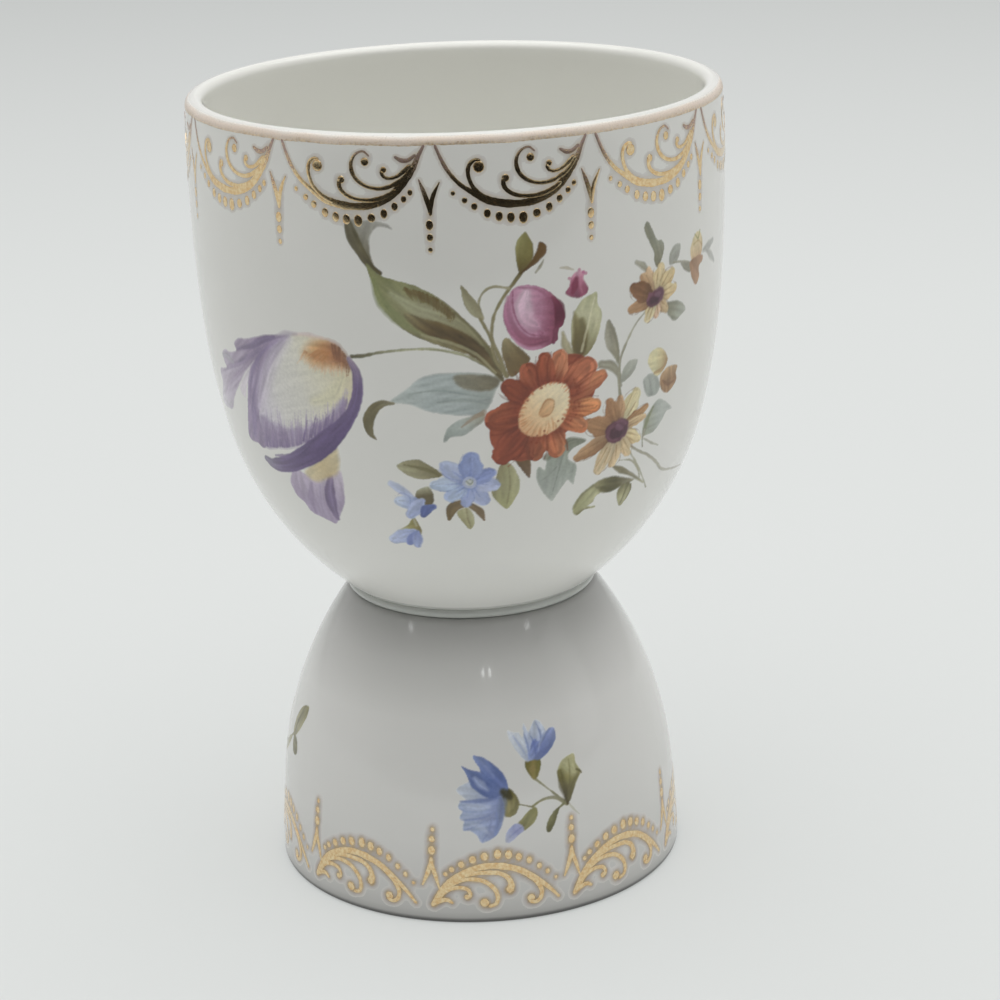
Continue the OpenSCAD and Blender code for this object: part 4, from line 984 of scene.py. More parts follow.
    # petals that hang below
    c.fill([(-22, 23.4), (-22.5, 21.8), (-21.8, 20.2), (-20.6, 19.3), (-19.8, 18.2), (-18.5, 17.7),
            (-17, 17.3), (-16.2, 17), (-15.6, 18), (-15.2, 19), (-14.6, 20.6), (-14.5, 22.5), (-14.8, 25),
            (-16, 24.4), (-17.5, 24), (-19.5, 23.6), (-21, 24)], [(-18.6, 24.4), (-17.8, 17.4)],
           [("#D2C9D4", "#BBAFC2"), ("#B9ADBF", "#B3A6BB"), ("#AC9FB6", "#A496AF"), ("#A598B0", "#A99CB3")],
           soft=0.35)
    c.brush([(-21.4, 23.4), (-21.6, 21.8), (-20.8, 20.2)], [0.6, 1.2, 0.6], ["#B0A3B8", "#A597AE"], soft=0.5,
            cover=0.6)
    c.brush([(-19, 22.6), (-19.4, 20.4), (-19, 18.2)], [0.4, 0.9, 0.5], ["#9D8FA9", "#9384A0"], soft=0.4,
            cover=0.7)
    c.brush([(-17.8, 22.6), (-18, 20), (-17.6, 17.8)], [0.3, 0.5, 0.3], ["#A89BB3"], cover=0.6)
    c.brush([(-16.2, 24), (-16.5, 21.8), (-16.3, 19.6), (-15.8, 17.9)], [0.7, 1.5, 1.5, 0.6],
            ["#8C7D99", "#7F7090", "#877895"], soft=0.3, streak=0.14)
    c.fill([(-19.8, 24), (-17.6, 26), (-15.3, 28), (-14.8, 26.4), (-15.2, 24.6), (-16.8, 23.6),
            (-18.4, 22.9)], [(-19.4, 23.8), (-15.2, 27)], ["#D6C9A2", "#C9B689", "#CDBF98"], soft=0.8,
           cover=0.9)
    # dark petal round the right side
    c.brush([(-12.8, 38.9), (-12, 37.4), (-11.95, 35.2), (-12.6, 33), (-13.9, 31), (-15.8, 29),
             (-17.9, 27.2), (-20.2, 25.6), (-22.6, 24.4), (-25, 23.8), (-26.6, 24.1)],
            [0.6, 1.2, 1.3, 1.5, 2.1, 2.7, 2.8, 2.5, 2.3, 2.0, 0.9],
            [("#9C8E9F", "#928397"), ("#7B6B90", "#706083"), ("#6C5C84", "#6F6083"), ("#62527A", "#6A5A7F"),
             ("#62517A", "#6C5C81"), ("#6A5A80", "#64547A"), ("#726386", "#756688"), ("#8D8599", "#8F8A9C")],
            soft=0.25, streak=0.09)
    c.brush([(-24.6, 25.1), (-22.2, 25.6), (-20.8, 26.4), (-18.6, 28)], [0.3, 0.6, 0.7, 0.3],
            ["#7F7092", "#6D5E84"], cover=0.8)


def on_petal(heart, tip, width, *spots):
    """Points on a petal. A spot is a share of the way from the heart to the tip, and a share of the
    petal's width to the left of that way."""
    way = np.array(tip) - heart
    side = np.array([-way[1], way[0]]) / math.hypot(*way)
    return [heart + way * along + side * width * left for along, left in spots]


RED_HEART = (8.8, 32.6)
# petals of the red flower: tip, width, colour near the middle, colours of the tip from left to right
RED_PETALS = [
    ((6.6, 38.2), 3.0, "#8A4530", ("#A05A3F", "#93492F")),
    ((4, 36.2), 2.9, "#85402B", ("#8A432C", "#93492F")),
    ((2, 31.6), 3.9, "#8A432C", ("#95492F", "#A3583B")),
    ((3, 26.6), 3.5, "#85402B", ("#8A422B", "#8F4730")),
    ((7.2, 26.3), 3.0, "#85402B", ("#A4603F", "#8A452E")),
    ((10.2, 26.4), 3.0, "#8F4A30", ("#C8835C", "#A9603F")),
    ((13.8, 29.4), 2.4, "#A25A3A", ("#CE8B62", "#B97048")),
    ((15.6, 32), 2.6, "#A9603C", ("#DC9865", "#C67F50")),
    ((16.4, 35.8), 2.4, "#A65C3C", ("#CB8960", "#B26C4B")),
    ((14.8, 37.6), 3.8, "#94492F", ("#B4694A", "#BC7453")),
    ((10.9, 39.3), 2.8, "#93492F", ("#B5704F", "#C0805E")),
    ((8.9, 39.3), 2.4, "#85402B", ("#95492F", "#A3583B")),
]


def red_flower(c):
    """Iron-red flower with a cream heart."""
    c.group = RED_FLOWER
    heart = np.array(RED_HEART)
    c.brush([(6, 30), RED_HEART, (11.6, 35.2)], [7, 8, 7], ["#934A31"], streak=0.1)
    for tip, width, inner, outer in RED_PETALS:
        (base,) = on_petal(heart, tip, width, (0.3, 0))
        c.petal(base, tip, width, [inner, inner, outer, outer], soft=0.2, streak=0.16, ragged=0.1)
    for tip, width, inner, outer in RED_PETALS:
        for left in (-0.28, 0, 0.3):
            a, b = on_petal(heart, tip, width, (0.5, left * 0.6), (c.dice.uniform(0.72, 0.92), left))
            c.brush([a, (a + b) / 2, b], [0.3, 0.22, 0.08], ["#7C3A25", "#98502F"], cover=0.45)
        edge = on_petal(heart, tip, width, (0.5, 0.3), (0.75, 0.45), (0.93, 0.42))
        c.brush(edge, [0.2, 0.28, 0.15], ["#6F3320"], cover=0.5)
    c.fill([(5.7, 31), (6, 32.8), (7, 34.4), (8.5, 35.4), (10.2, 35.6), (11.4, 35), (11.7, 33.6), (11.4, 32),
            (10.5, 30.4), (9, 29.5), (7.3, 29.4), (6.2, 30)],
           [(6, 30), (11, 35)], ["#DDB084", "#E8C89C", "#EEDCB6", "#F0E3C2"], soft=0.35, streak=0.04)
    c.hatch([(5.9, 31.4), (6.4, 30), (8, 29.4), (10, 30.1)],
            [(7.6, 32.2), (8, 31.8), (8.6, 31.6), (9.6, 32)], 15, 0.16, ["#BD7B50", "#D3A074"],
            lengths=(0.3, 0.8), cover=0.6)
    c.hatch([(5.8, 32), (6.6, 34), (8.2, 35.3), (10, 35.6), (11.4, 34.8), (11.6, 33), (11, 31.2)],
            [(8, 32.4), (8.2, 33), (8.6, 33.6), (9.2, 33.8), (9.8, 33.4), (9.8, 32.8), (9.6, 32.2)],
            24, 0.22, ["#C0683F", "#D79A6E"], lengths=(0.08, 0.3), cover=0.6)
    c.fill([(8, 32.2), (8.9, 33.7), (9.8, 33.4), (9.5, 32), (8.6, 31.6)], [(8, 32), (9.8, 33.4)],
           ["#D3A273", "#E0BA8C"], soft=0.3, cover=0.9)
    c.brush([(8.1, 32.2), (8.9, 33.6), (9.8, 33.4), (9.5, 32.1), (8.5, 31.7)], [0.15], ["#A9764C"],
            cover=0.6)
    angles = c.dice.uniform(0, math.tau, 46)
    reach = c.dice.uniform(0.9, 1.35, 46)
    dots = [(8.7 + 3.4 * r * math.cos(a) + 0.8 * math.sin(a),
             32.5 + 3.1 * r * math.sin(a) + 0.8 * math.cos(a)) for a, r in zip(angles, reach)]
    c.dots(dots, 0.24, "#7F3A22", cover=0.6)


def rosebud(c):
    """Purple-rose bud that hangs from its stem, and a small one beside it."""
    c.group = ROSEBUD
    c.fill([(5, 45.6), (5.4, 46.6), (6.5, 47), (7.8, 46.9), (9.2, 46.3), (10.3, 45.3), (11, 44.2),
            (11.3, 43), (11, 42), (10.4, 41.6), (10.4, 40.5), (9.8, 40.2), (9.2, 39.9), (8, 39.6),
            (6.7, 39.8), (5.6, 40.7), (4.8, 42), (4.4, 43.5), (4.5, 44.8)], [(4.4, 43.4), (11.3, 42.8)],
           ["#B27D97", "#C596AE", "#C898B0", "#B37C94", "#8E4C64", "#6E2C42"], soft=0.22, streak=0.07)
    c.brush([(7, 46.2), (6.6, 44.6), (7, 43.2), (8, 42.4)], [0.9, 2.0, 2.0, 0.9],
            ["#E2C8D6", "#DDBFCF", "#CFA5BA"], soft=0.8, cover=0.85)
    c.brush([(5, 45.8), (4.9, 43.6), (5.7, 41.8), (7.2, 40.6), (9.2, 40.7)], [0.5, 1.0, 1.1, 1.2, 0.7],
            ["#B68099", "#A96F8A", "#98566F", "#8D4A62"], soft=0.4, cover=0.85, streak=0.14)
    c.brush([(5.5, 46.6), (5.5, 44.6), (6.1, 42.7), (7.2, 41.5), (8.8, 41.1)], [0.12, 0.2, 0.22, 0.15],
            ["#8A4A66"], cover=0.7)
    c.brush([(6.2, 46.8), (8.2, 46.4), (9.6, 45.2), (10, 44.2)], [0.15, 0.3, 0.3, 0.15], ["#A0647F"],
            cover=0.6)
    c.hatch([(9.6, 45.4), (9.9, 43.8), (9.4, 42), (8.4, 41.3)],
            [(7.8, 45.2), (7.8, 44), (7.6, 43), (7.4, 42.4)], 14, 0.22, ["#8E4C68", "#B98399"],
            lengths=(0.35, 0.9), cover=0.55)
    c.brush([(9.9, 45.3), (10.6, 44.3), (10.7, 43), (10.3, 41.8)], [0.4, 1.2, 1.3, 0.6],
            ["#7C384E", "#65203A", "#5F1D35", "#74324A"], soft=0.3, cover=0.9, streak=0.15)
    c.brush([(10.2, 41.6), (10.1, 40.9), (9.9, 40.3)], [0.7, 0.6, 0.5], ["#7A3A52"], soft=0.2)
    c.fill([(11.4, 45.6), (11.9, 46.4), (12.2, 47.4), (12.9, 47.9), (13.7, 47.7), (13.6, 46.9), (14.1, 46),
            (14, 45.3), (13.2, 44.9), (12.2, 45)],
           [(13, 47.9), (12.8, 45)], ["#CBA0B0", "#B8788F", "#97546B", "#8A4A62"], soft=0.3, streak=0.15)
    c.brush([(12.7, 47), (12.5, 46.2), (12.3, 45.6)], [0.6, 0.9, 0.5], ["#7A2F48"], soft=0.3, cover=0.85)
    c.brush([(13.3, 47.2), (13.2, 46.2), (13.4, 45.4)], [0.2, 0.3, 0.2], ["#B7788E"], cover=0.7)
    c.dots([(13.6, 47.7), (13.9, 47.5), (13.1, 48), (11.9, 47.2)], 0.35, "#B8638A", cover=0.7)
    c.brush([(10.9, 48.5), (11.6, 48.4), (12.4, 48.1)], [0.2, 0.35, 0.2], ["#BDB6A2"], cover=0.8)


DAISY_HEART = (17.8, 28.3)
# petals of the lower daisy, those behind first: tip, width, colours from left to right
DAISY_PETALS = [
    ((20.9, 32.9), 2.7, ("#D9CB9C", "#E6DDB6")),
    ((18.3, 32.6), 1.7, ("#B08A66", "#C9A680")),
    ((16.6, 32.6), 2.2, ("#9A7150", "#B58C66")),
    ((13.4, 30.2), 2.7, ("#A67D57", "#B28862")),
    ((22.6, 30.5), 1.3, ("#A97F56", "#C5A074")),
    ((22.2, 29.3), 1.2, ("#DCC49A", "#D2B48A")),
    ((21.4, 26.2), 2.0, ("#E6D8AC", "#DCC798")),
    ((19.6, 24.6), 1.9, ("#DFCCA4", "#D2B991")),
    ((17, 23.6), 2.2, ("#DAC6A0", "#CDB28C")),
    ((14.9, 23.2), 2.1, ("#DCCBA8", "#D3BC96")),
    ((12, 25.7), 1.9, ("#9A7350", "#C8A47C")),
]
SECOND_DAISY_HEART = (23.5, 43.1)
SECOND_DAISY_PETALS = [
    ((22.3, 46.8), 1.6, ("#CDAE8A", "#DDC39E")),
    ((24.6, 46.9), 2.3, ("#D9C598", "#E3D3A8")),
    ((26.8, 45.8), 2.0, ("#DDCB9C", "#D6BF90")),
    ((27.3, 43.6), 1.9, ("#E0D0A2", "#D2B98C")),
    ((25.6, 41), 1.6, ("#D3BC94", "#C7AE88")),
    ((23.6, 40.6), 1.7, ("#DABFA4", "#CFAE90")),
    ((21.9, 40.5), 1.7, ("#DCD2AC", "#D2C298")),
    ((19.2, 42.3), 1.6, ("#A8835E", "#C09A72")),
    ((21.3, 46.2), 1.9, ("#B08A64", "#D2B48E")),
    ((19.6, 45), 2.4, ("#8E6645", "#7C5536")),
]


def daisy(c, heart, petals, size):
    """One daisy. size is the width and height of its heart."""
    heart = np.array(heart)
    for tip, width, hues in petals:
        (base,) = on_petal(heart, tip, width, (0.25, 0))
        deep = tuple("#" + "".join(f"{int(v * 208):02X}" for v in pigment(code)) for code in hues)
        c.petal(base, tip, width, [deep, hues, hues], shape=(0.6, 0.95, 1, 0.85, 0.55), soft=0.22,
                streak=0.08, ragged=0.1)
        for left in (-0.22, 0.2):
            a, b = on_petal(heart, tip, width, (0.4, left * 0.6), (0.82, left))
            c.brush([a, (a + b) / 2, b], [0.2, 0.16, 0.06], ["#8F6C4A"], cover=0.5)
        edge = on_petal(heart, tip, width, (0.4, 0.42), (0.75, 0.5), (0.98, 0.2))
        c.brush(edge, [0.12, 0.18, 0.1], ["#8A6848"], cover=0.5)
    w, h = size
    c.brush([heart - (w * 0.35, 0.1), heart, heart + (w * 0.35, 0.15)], [h, h * 1.1, h],
            ["#6A4450", "#5E3A47", "#6C4856"], soft=0.35, streak=0.18, ragged=0.16)
    c.brush([heart - (w * 0.4, 0.3), heart + (w * 0.1, -0.2)], [h * 0.5], ["#452833"], soft=0.4, cover=0.7)
    c.brush([heart + (0.1, h * 0.18), heart + (w * 0.35, h * 0.1)], [h * 0.3], ["#7F5A6C"], soft=0.3,
            cover=0.7)


def daisies(c):
    """Tan and cream daisies with purple hearts, and their buds."""
    c.group = DAISIES
    # buds at the right edge and between the daisies
    c.fill([(30.4, 45.9), (30.1, 47.2), (30.8, 48.4), (32, 48.9), (33, 48), (33, 46.6), (32.4, 45.8),
            (31.4, 45.6)], [(31.2, 48.8), (31.8, 45.8)], ["#D6CB9E", "#D2BF98", "#C6A883"], soft=0.3)
    c.brush([(31.1, 48.7), (31.9, 48.1), (32.4, 48.9)], [0.2], ["#8F8E5E"], cover=0.8)
    c.brush([(30.8, 47.6), (32, 47.8), (32.8, 47.2)], [0.15], ["#A08458"], cover=0.6)
    c.fill([(30, 45.7), (31.5, 46.1), (33.1, 45.9), (33.1, 45.2), (32.2, 44.8), (32.3, 43.6), (31.6, 42.8),
            (30.8, 43.3), (30.2, 44.4)], [(30.2, 45.4), (32.2, 43.4)], ["#A07C5C", "#A98566", "#B59070"],
           soft=0.3)
    c.fill([(22.3, 35.8), (22.8, 36.8), (24, 37.1), (25.2, 36.4), (25.7, 35.2), (25, 34.2), (24, 33.7),
            (23.2, 34.2), (22.6, 35)], [(22.4, 35.6), (25.6, 35.2)],
           ["#DAD2A8", "#E0D9AE", "#D6C79A", "#B99E76"], soft=0.3)
    c.brush([(23.4, 34.2), (24.8, 34.4), (25.6, 35.4)], [0.3, 0.5, 0.2], ["#A98C66"], cover=0.7)
    c.fill([(24.5, 33.6), (25.6, 34.3), (26.8, 34.3), (27.7, 34), (27.4, 33.2), (27.6, 32.4), (26.8, 31.5),
            (25.8, 31.1), (24.9, 31.6), (24.4, 32.6)], [(25.8, 34.2), (26, 31.2)],
           ["#BFA27C", "#9E7C5A", "#A3825F"], soft=0.3, streak=0.14)
    c.brush([(24.9, 32.8), (25.8, 32.2), (27, 32.3)], [0.3, 0.5, 0.2], ["#856246"], cover=0.7)
    daisy(c, SECOND_DAISY_HEART, SECOND_DAISY_PETALS, (1.5, 1.7))
    daisy(c, DAISY_HEART, DAISY_PETALS, (1.1, 2.6))


FORGET_HEART = (0.15, 24.2)
# petals of the forget-me-not: tip, width, colours
FORGET_PETALS = [
    ((1.9, 21), 2.1, ("#A3AED2", "#B7C0DC")),
    ((-0.4, 20.9), 1.7, ("#A9B4D6", "#9BA7CE")),
    ((-2.6, 21.9), 2.0, ("#B9C9E2", "#AEBBDA")),
    ((-4.2, 23.9), 2.0, ("#B3C4DC", "#C3CFE2")),
    ((-3, 26.8), 2.3, ("#A8B3D4", "#BCC6DE")),
    ((3.5, 23.6), 2.2, ("#AEB8DA", "#C0C8E2")),
    ((3, 25.6), 1.8, ("#8896C6", "#95A2CE")),
    ((0.5, 28.1), 2.8, ("#8997C2", "#97A4CC")),
]


def forget_me_not(c):
    """An open forget-me-not."""
    c.group = FORGET_ME_NOTS
    heart = np.array(FORGET_HEART)
    for tip, width, hues in FORGET_PETALS:
        (base,) = on_petal(heart, tip, width, (0.15, 0))
        c.petal(base, tip, width, ["#8C9AC8", hues, hues, hues], soft=0.25, streak=0.07, ragged=0.1)
        edge = on_petal(heart, tip, width, (0.3, 0.25), (0.6, 0.45), (0.9, 0.35))
        c.brush(edge, [0.1, 0.16, 0.1], ["#7583B6"], cover=0.5)
        c.brush(on_petal(heart, tip, width, (0.25, 0), (0.6, 0)), [0.35, 0.1], ["#7B89BC"], cover=0.5)
    c.dots([FORGET_HEART], 1.5, "#B9C0D4", cover=0.85)
    c.dots([FORGET_HEART], 0.8, "#CDD0CC", cover=0.9)
    c.brush([(-0.2, 24.4), (0.2, 24), (0.5, 24.4), (0.2, 24.6)], [0.14], ["#7C8478"], cover=0.8)


def forget_me_nots(c):
    """Blue forget-me-nots: one open, two buds at the left."""
    forget_me_not(c)
    c.petal((-5.4, 21.4), (-8.4, 21.7), 2.0, ["#8E9BC8", ("#BAC6DC", "#C6D0E2")], soft=0.3)
    c.petal((-6.4, 22.4), (-9, 24.2), 1.1, ["#B3BDD8", "#C6CEE2"], soft=0.3)
    c.petal((-5.2, 21.8), (-6.9, 19.3), 1.7, [("#A3AFD4", "#B5BFDC")], soft=0.3)
    c.brush([(-4, 21), (-4.7, 20.6), (-5.1, 19.8)], [0.8, 1.4, 0.8], ["#6674AA", "#5F6DA4"], soft=0.25)
    c.brush([(-8.3, 22.3), (-7.4, 22.8), (-6.6, 22.2), (-6.6, 21.2)], [0.12], ["#8390BE"], cover=0.6)
    c.petal((-6.4, 17.2), (-9.2, 15.4), 2.1, ["#A5B0D6", ("#B5BFDC", "#C0C9E2")], soft=0.3)
    c.petal((-6.2, 17), (-7, 15), 1.2, ["#8692C4", "#7F8CC0"], soft=0.3)
    c.petal((-5.9, 17.2), (-6, 14.6), 1.2, ["#8E9ACA", "#A6B1D6"], soft=0.3)


front = Canvas(-40, 39, 12, 56, 11)
bouquet_leaves(front)
daisies(front)
forget_me_nots(front)
rosebud(front)
red_flower(front)
tulip(front)

enamel = overglaze_enamel()
FRONT_SHEETS = [
    ("tulip_painted", TULIP, "violet_enamel", "tulip_enamel"),
    ("red_flower_painted", RED_FLOWER, "red_enamel", "red_flower_enamel"),
    ("rosebud_painted", ROSEBUD, "rose_enamel", "rosebud_enamel"),
    ("daisies_painted", DAISIES, "tan_enamel", "daisy_enamel"),
    ("forget_me_nots_painted", FORGET_ME_NOTS, "blue_enamel", "forget_me_not_enamel"),
    ("bouquet_leaves_painted", LEAVES, "green_enamel", "bouquet_leaf_enamel"),
]
for name, group, slot, node in FRONT_SHEETS:
    settle(fired_sheet(name, bowl_wall, front, group, enamel), slot, node)


# Flowers of the small bowl: a spray of cornflowers, three times round

CORNFLOWERS, FOOT_LEAVES = range(2)
FOOT_TURNS = (0, 120, 240)


def foot_leaves(c):
    """Olive leaves, the cornflowers' green cups and the stems between them."""
    c.group = FOOT_LEAVES
    c.brush([(10.8, 13.5), (11.5, 12.6), (12.1, 12)], [0.35, 0.15], ["#A5A38A"], cover=0.6)
    c.brush([(6.5, 17.4), (8, 16), (9.3, 14.8), (10.4, 13.8)], [0.35, 0.25, 0.3, 0.4],
            ["#97957A", "#7F7C5C"])
    c.brush([(6.2, 14.1), (7.2, 14.6), (8.4, 14.75), (9.4, 14.4), (10.5, 13.6)], [0.3, 0.35, 0.45, 0.5],
            ["#87855E", "#93917A", "#7F7B5A"])
    c.brush([(4.3, 14.6), (5.3, 14.3), (6.2, 14)], [0.3, 0.22, 0.25], ["#7D7A55"])
    c.fill([(9.4, 17), (9.6, 18.3), (10.5, 19.1), (11.6, 19.3), (11.9, 18.2), (12.5, 17), (11.8, 15.9),
            (11, 14.1), (10.5, 13.5), (10, 15.2)], [(11.2, 19.3), (10.6, 13.6)],
           ["#BBB892", "#ABA87C", "#837D50", "#4E472B", "#4A4228"], soft=0.3)
    c.brush([(9.7, 17.6), (9.9, 16.2), (10.4, 14.2)], [0.6, 1.0, 0.5], ["#6F6A42", "#4B4429"], soft=0.4,
            cover=0.8)
    c.brush([(12.3, 17), (11.9, 16.4), (11.2, 15.4), (10.8, 14.2)], [0.3, 0.8, 0.6], ["#7C774F", "#6A6540"],
            soft=0.4, cover=0.8)
    c.brush([(10.4, 18.5), (11, 18), (11.5, 17.2)], [1.0, 1.5, 1.0], ["#BDBB95"], soft=0.7, cover=0.7)
    c.brush([(10.9, 18.8), (11, 17.4), (10.8, 16)], [0.15, 0.25, 0.15], ["#7C784C"], cover=0.5)
    c.brush([(11.9, 17.4), (12.4, 17.1), (12.6, 16.8)], [0.25, 0.35, 0.2], ["#6A6540"])
    c.brush([(9.4, 13.3), (10.2, 13.8)], [0.25, 0.35], ["#87855E"])
    c.fill([(9.5, 13.4), (8.9, 13.2), (8.2, 12.4), (7.8, 11.6), (7.8, 10.8), (8.2, 10.6), (8.7, 11.2),
            (9.1, 12.2)], [(9.4, 13.3), (8, 10.7)],
           [("#55522F", "#7A7855"), ("#625F3B", "#7D7B55"), "#625F3B"], soft=0.3)
    c.fill([(4.3, 12.2), (5, 13), (5.8, 13.7), (6.5, 14), (6.75, 13.3), (6.5, 12.4), (5.8, 11.7), (5, 11.3),
            (4.6, 11.6)], [(6.4, 13.9), (4.6, 11.6)], ["#7D7A4E", "#8F8C60", "#7F7B50"], soft=0.3,
           streak=0.14)
    c.fill([(2.7, 16.3), (3.2, 16.6), (3.8, 16.3), (4.3, 15.6), (4.6, 14.7), (4.4, 13.8), (3.9, 13.3),
            (3.2, 13.1), (2.7, 13.4), (2.6, 14.8)], [(3.5, 16.6), (3.5, 13.1)],
           ["#66613C", "#7F784C", "#918A5D", "#827C50"], soft=0.3, streak=0.12)
    c.brush([(2.9, 15.8), (3.2, 15.9), (3.5, 15.6)], [0.8, 1.0, 0.6], ["#4F4A2E"], soft=0.5, cover=0.85)
    c.brush([(3.4, 13.5), (4.1, 14.2), (4.3, 15.2)], [0.3, 0.5, 0.3], ["#6F6A42"], soft=0.4, cover=0.6)
    c.fill([(5.4, 19.4), (5.5, 18.6), (5.9, 17.8), (6.4, 17.2), (7, 17.6), (7.3, 18.5), (7.3, 19.4),
            (6.7, 19.7), (6, 19.6)], [(6.4, 19.6), (6.4, 17.2)],
           [("#6B6A3E", "#8B8052", "#66623A"), ("#7E7A4C", "#8F8456", "#6E6A40")], soft=0.3)
    c.dots([(6.3, 18.5)], 0.8, "#9A8A5E", cover=0.5)


def cornflowers(c):
    """Cornflowers seen from the side: dark petals behind, pale ones in front, and a bud."""
    c.group = CORNFLOWERS
    # large one: its pale lower petals, then the dark upper ones
    c.fill([(2.6, 15.5), (1.8, 15.9), (0.5, 15.7), (-1.2, 15.5), (-2.3, 15.2), (-2.6, 14.6), (-2.1, 14.1),
            (-2.5, 13.3), (-2, 12.9), (-2.1, 11.8), (-1.3, 11.7), (-0.6, 11.2), (0, 10.2), (0.9, 10.5),
            (1.6, 10.9), (2.2, 11.6), (2.5, 12.6), (2.8, 13.8)], [(-2.5, 13), (2.7, 13.5)],
           ["#A7B3CD", "#A1ADCA", "#939FC2", "#8290BA"], soft=0.35, streak=0.1)
    c.fill([(-2.7, 16.6), (-2.2, 16), (-1.4, 15.4), (0, 15.5), (1.5, 15.9), (1, 17.2), (-0.5, 17.8),
            (-1.6, 17.4), (-2.4, 17)], [(-2.6, 16.4), (1.4, 16.4)], ["#C8CFDA", "#B7C0D0", "#8F9CBE"],
           soft=0.35)
    c.fill([(-0.7, 20.6), (0.3, 20.5), (1.2, 20), (2.2, 19.1), (3, 18), (3.3, 16.9), (3.1, 16), (2, 15.8),
            (1, 16.8), (0.4, 18), (0, 19.2)], [(-0.3, 20.4), (2.8, 16.2)],
           ["#8492BA", "#7584B1", "#6B7AA9", "#6F7EAC"], soft=0.3, streak=0.1)
    c.fill([(-2.1, 19.5), (-1, 19), (0.1, 18.7), (1.3, 17.9), (2.2, 17), (2.6, 15.9), (1.2, 15.5), (0, 16.2),
            (-0.9, 17), (-1.3, 18), (-1.7, 18.8)], [(-1.9, 19.3), (2.4, 16)],
           ["#7D8BB5", "#7180AC", "#6878A8", "#7180AE"], soft=0.3, streak=0.12)
    c.brush([(-0.5, 18), (0.1, 17.3), (0.9, 16.6)], [0.4, 0.9, 0.4], ["#A9B4CE"], soft=0.5, cover=0.7)
    c.brush([(0.2, 20.1), (0.9, 19.2), (1.7, 18)], [0.2, 0.45, 0.2], ["#8E9BC0"], soft=0.4, cover=0.6)
    c.brush([(2.8, 16.2), (2.6, 14.6), (2.3, 13), (1.8, 11.8)], [1.0, 0.9, 0.8, 0.4], ["#6B768F", "#7C88A8"],
            soft=0.6, cover=0.75)
    for line, width, hue in (
        ([(-2.3, 15.3), (-0.5, 15.3), (1.2, 15.4), (2.4, 15.6)], 0.5, "#7382B2"),
        ([(-2.4, 13), (-1.2, 13.1), (0.4, 13.3), (1.4, 13.9)], 0.24, "#7A88B6"),
        ([(-2, 11.8), (-0.6, 12.3), (0.6, 13)], 0.2, "#8290BC"),
        ([(0.1, 10.4), (0.9, 11.7), (1.3, 13.2)], 0.28, "#8693BE"),
        ([(1.6, 11.1), (1.9, 12.4), (1.8, 13.8)], 0.45, "#7E8CBA"),
        ([(-2.4, 14.4), (-1.4, 14), (-0.2, 14.2)], 0.18, "#8C99C0"),
    ):
        c.brush(line, [width * 0.5, width, width * 0.4], [hue], soft=0.25, cover=0.65)
    c.brush([(-1.4, 14.7), (0, 14.5), (1, 14.6)], [0.5, 0.8, 0.4], ["#BAC4D7"], cover=0.65, soft=0.5)
    c.brush([(-1, 12.5), (0, 12.1), (0.7, 11.5)], [0.4, 0.7, 0.4], ["#B6C0D5"], cover=0.6, soft=0.4)
    c.brush([(2.7, 16.2), (3.1, 15.9), (3.4, 15.5)], [0.7, 1.1, 0.7], ["#4A4732"], soft=0.5, cover=0.85)
    # smaller one above
    c.fill([(3.5, 23.3), (3.5, 22.6), (3.9, 21.8), (4.5, 20.8), (5.1, 20), (5.8, 19.4), (6.3, 20), (6, 21.4),
            (5.6, 22.8), (5.2, 22.3), (4.8, 22.9), (4.3, 23)], [(3.7, 23), (5.8, 19.7)],
           ["#D6DBE2", "#CFD6DF", "#BFC9DA"], soft=0.35)
    c.fill([(5.4, 23.9), (5.9, 22.9), (6.3, 23.4), (6.8, 24.1), (7.4, 23.8), (8, 22.9), (8.2, 22.2),
            (7.4, 20.6), (6.6, 19.6), (5.9, 19.6), (5.7, 21), (5.4, 22.3)], [(6.6, 24), (6.4, 19.6)],
           ["#C6CEDA", "#BEC7D7", "#A1ADCA", "#8B98BE"], soft=0.3, streak=0.12)
    c.fill([(7.9, 22.3), (8.6, 22.9), (9.2, 22.7), (9.4, 21.8), (9.1, 21), (8.4, 20.2), (7.6, 19.6),
            (6.7, 19.5), (6, 20), (6.2, 21.2), (6.7, 22), (7.2, 21.6), (7.6, 22.2)],
           [(9, 22.6), (6.5, 19.7)], ["#939FC4", "#8491BC", "#7D8ABA", "#8592B8"], soft=0.3, streak=0.14)
    for line, hue in (
        ([(6.1, 22.6), (6.6, 21.4), (6.8, 20)], "#6574A6"),
        ([(5.4, 22.8), (5.8, 21.4), (6, 20.1)], "#8290BA"),
        ([(6.9, 23.8), (7.4, 22.6), (7.5, 21.4)], "#7C8AB4"),
        ([(4.1, 22.6), (4.9, 21.4), (5.6, 20.2)], "#93A1C4"),
    ):
        c.brush(line, [0.12, 0.26, 0.14], [hue], cover=0.65)
    c.brush([(7.9, 22.3), (7.3, 21.2), (7.1, 20.4)], [0.4, 0.35, 0.1], ["#A9B5CE"], cover=0.6)
    # bud
    c.fill([(2.8, 10.1), (3.3, 10), (4.1, 10.6), (5, 11.3), (4.7, 12.1), (3.9, 12.2), (3.1, 11.5),
            (2.8, 10.8)], [(2.9, 10.2), (4.8, 11.8)], ["#BBC0D3", "#ADB3D0", "#999FC4", "#A0A5C8"], soft=0.3)
    c.brush([(3, 10.4), (3.8, 11.1), (4.7, 11.7)], [0.1, 0.2, 0.15], ["#7E86B4"], cover=0.6)


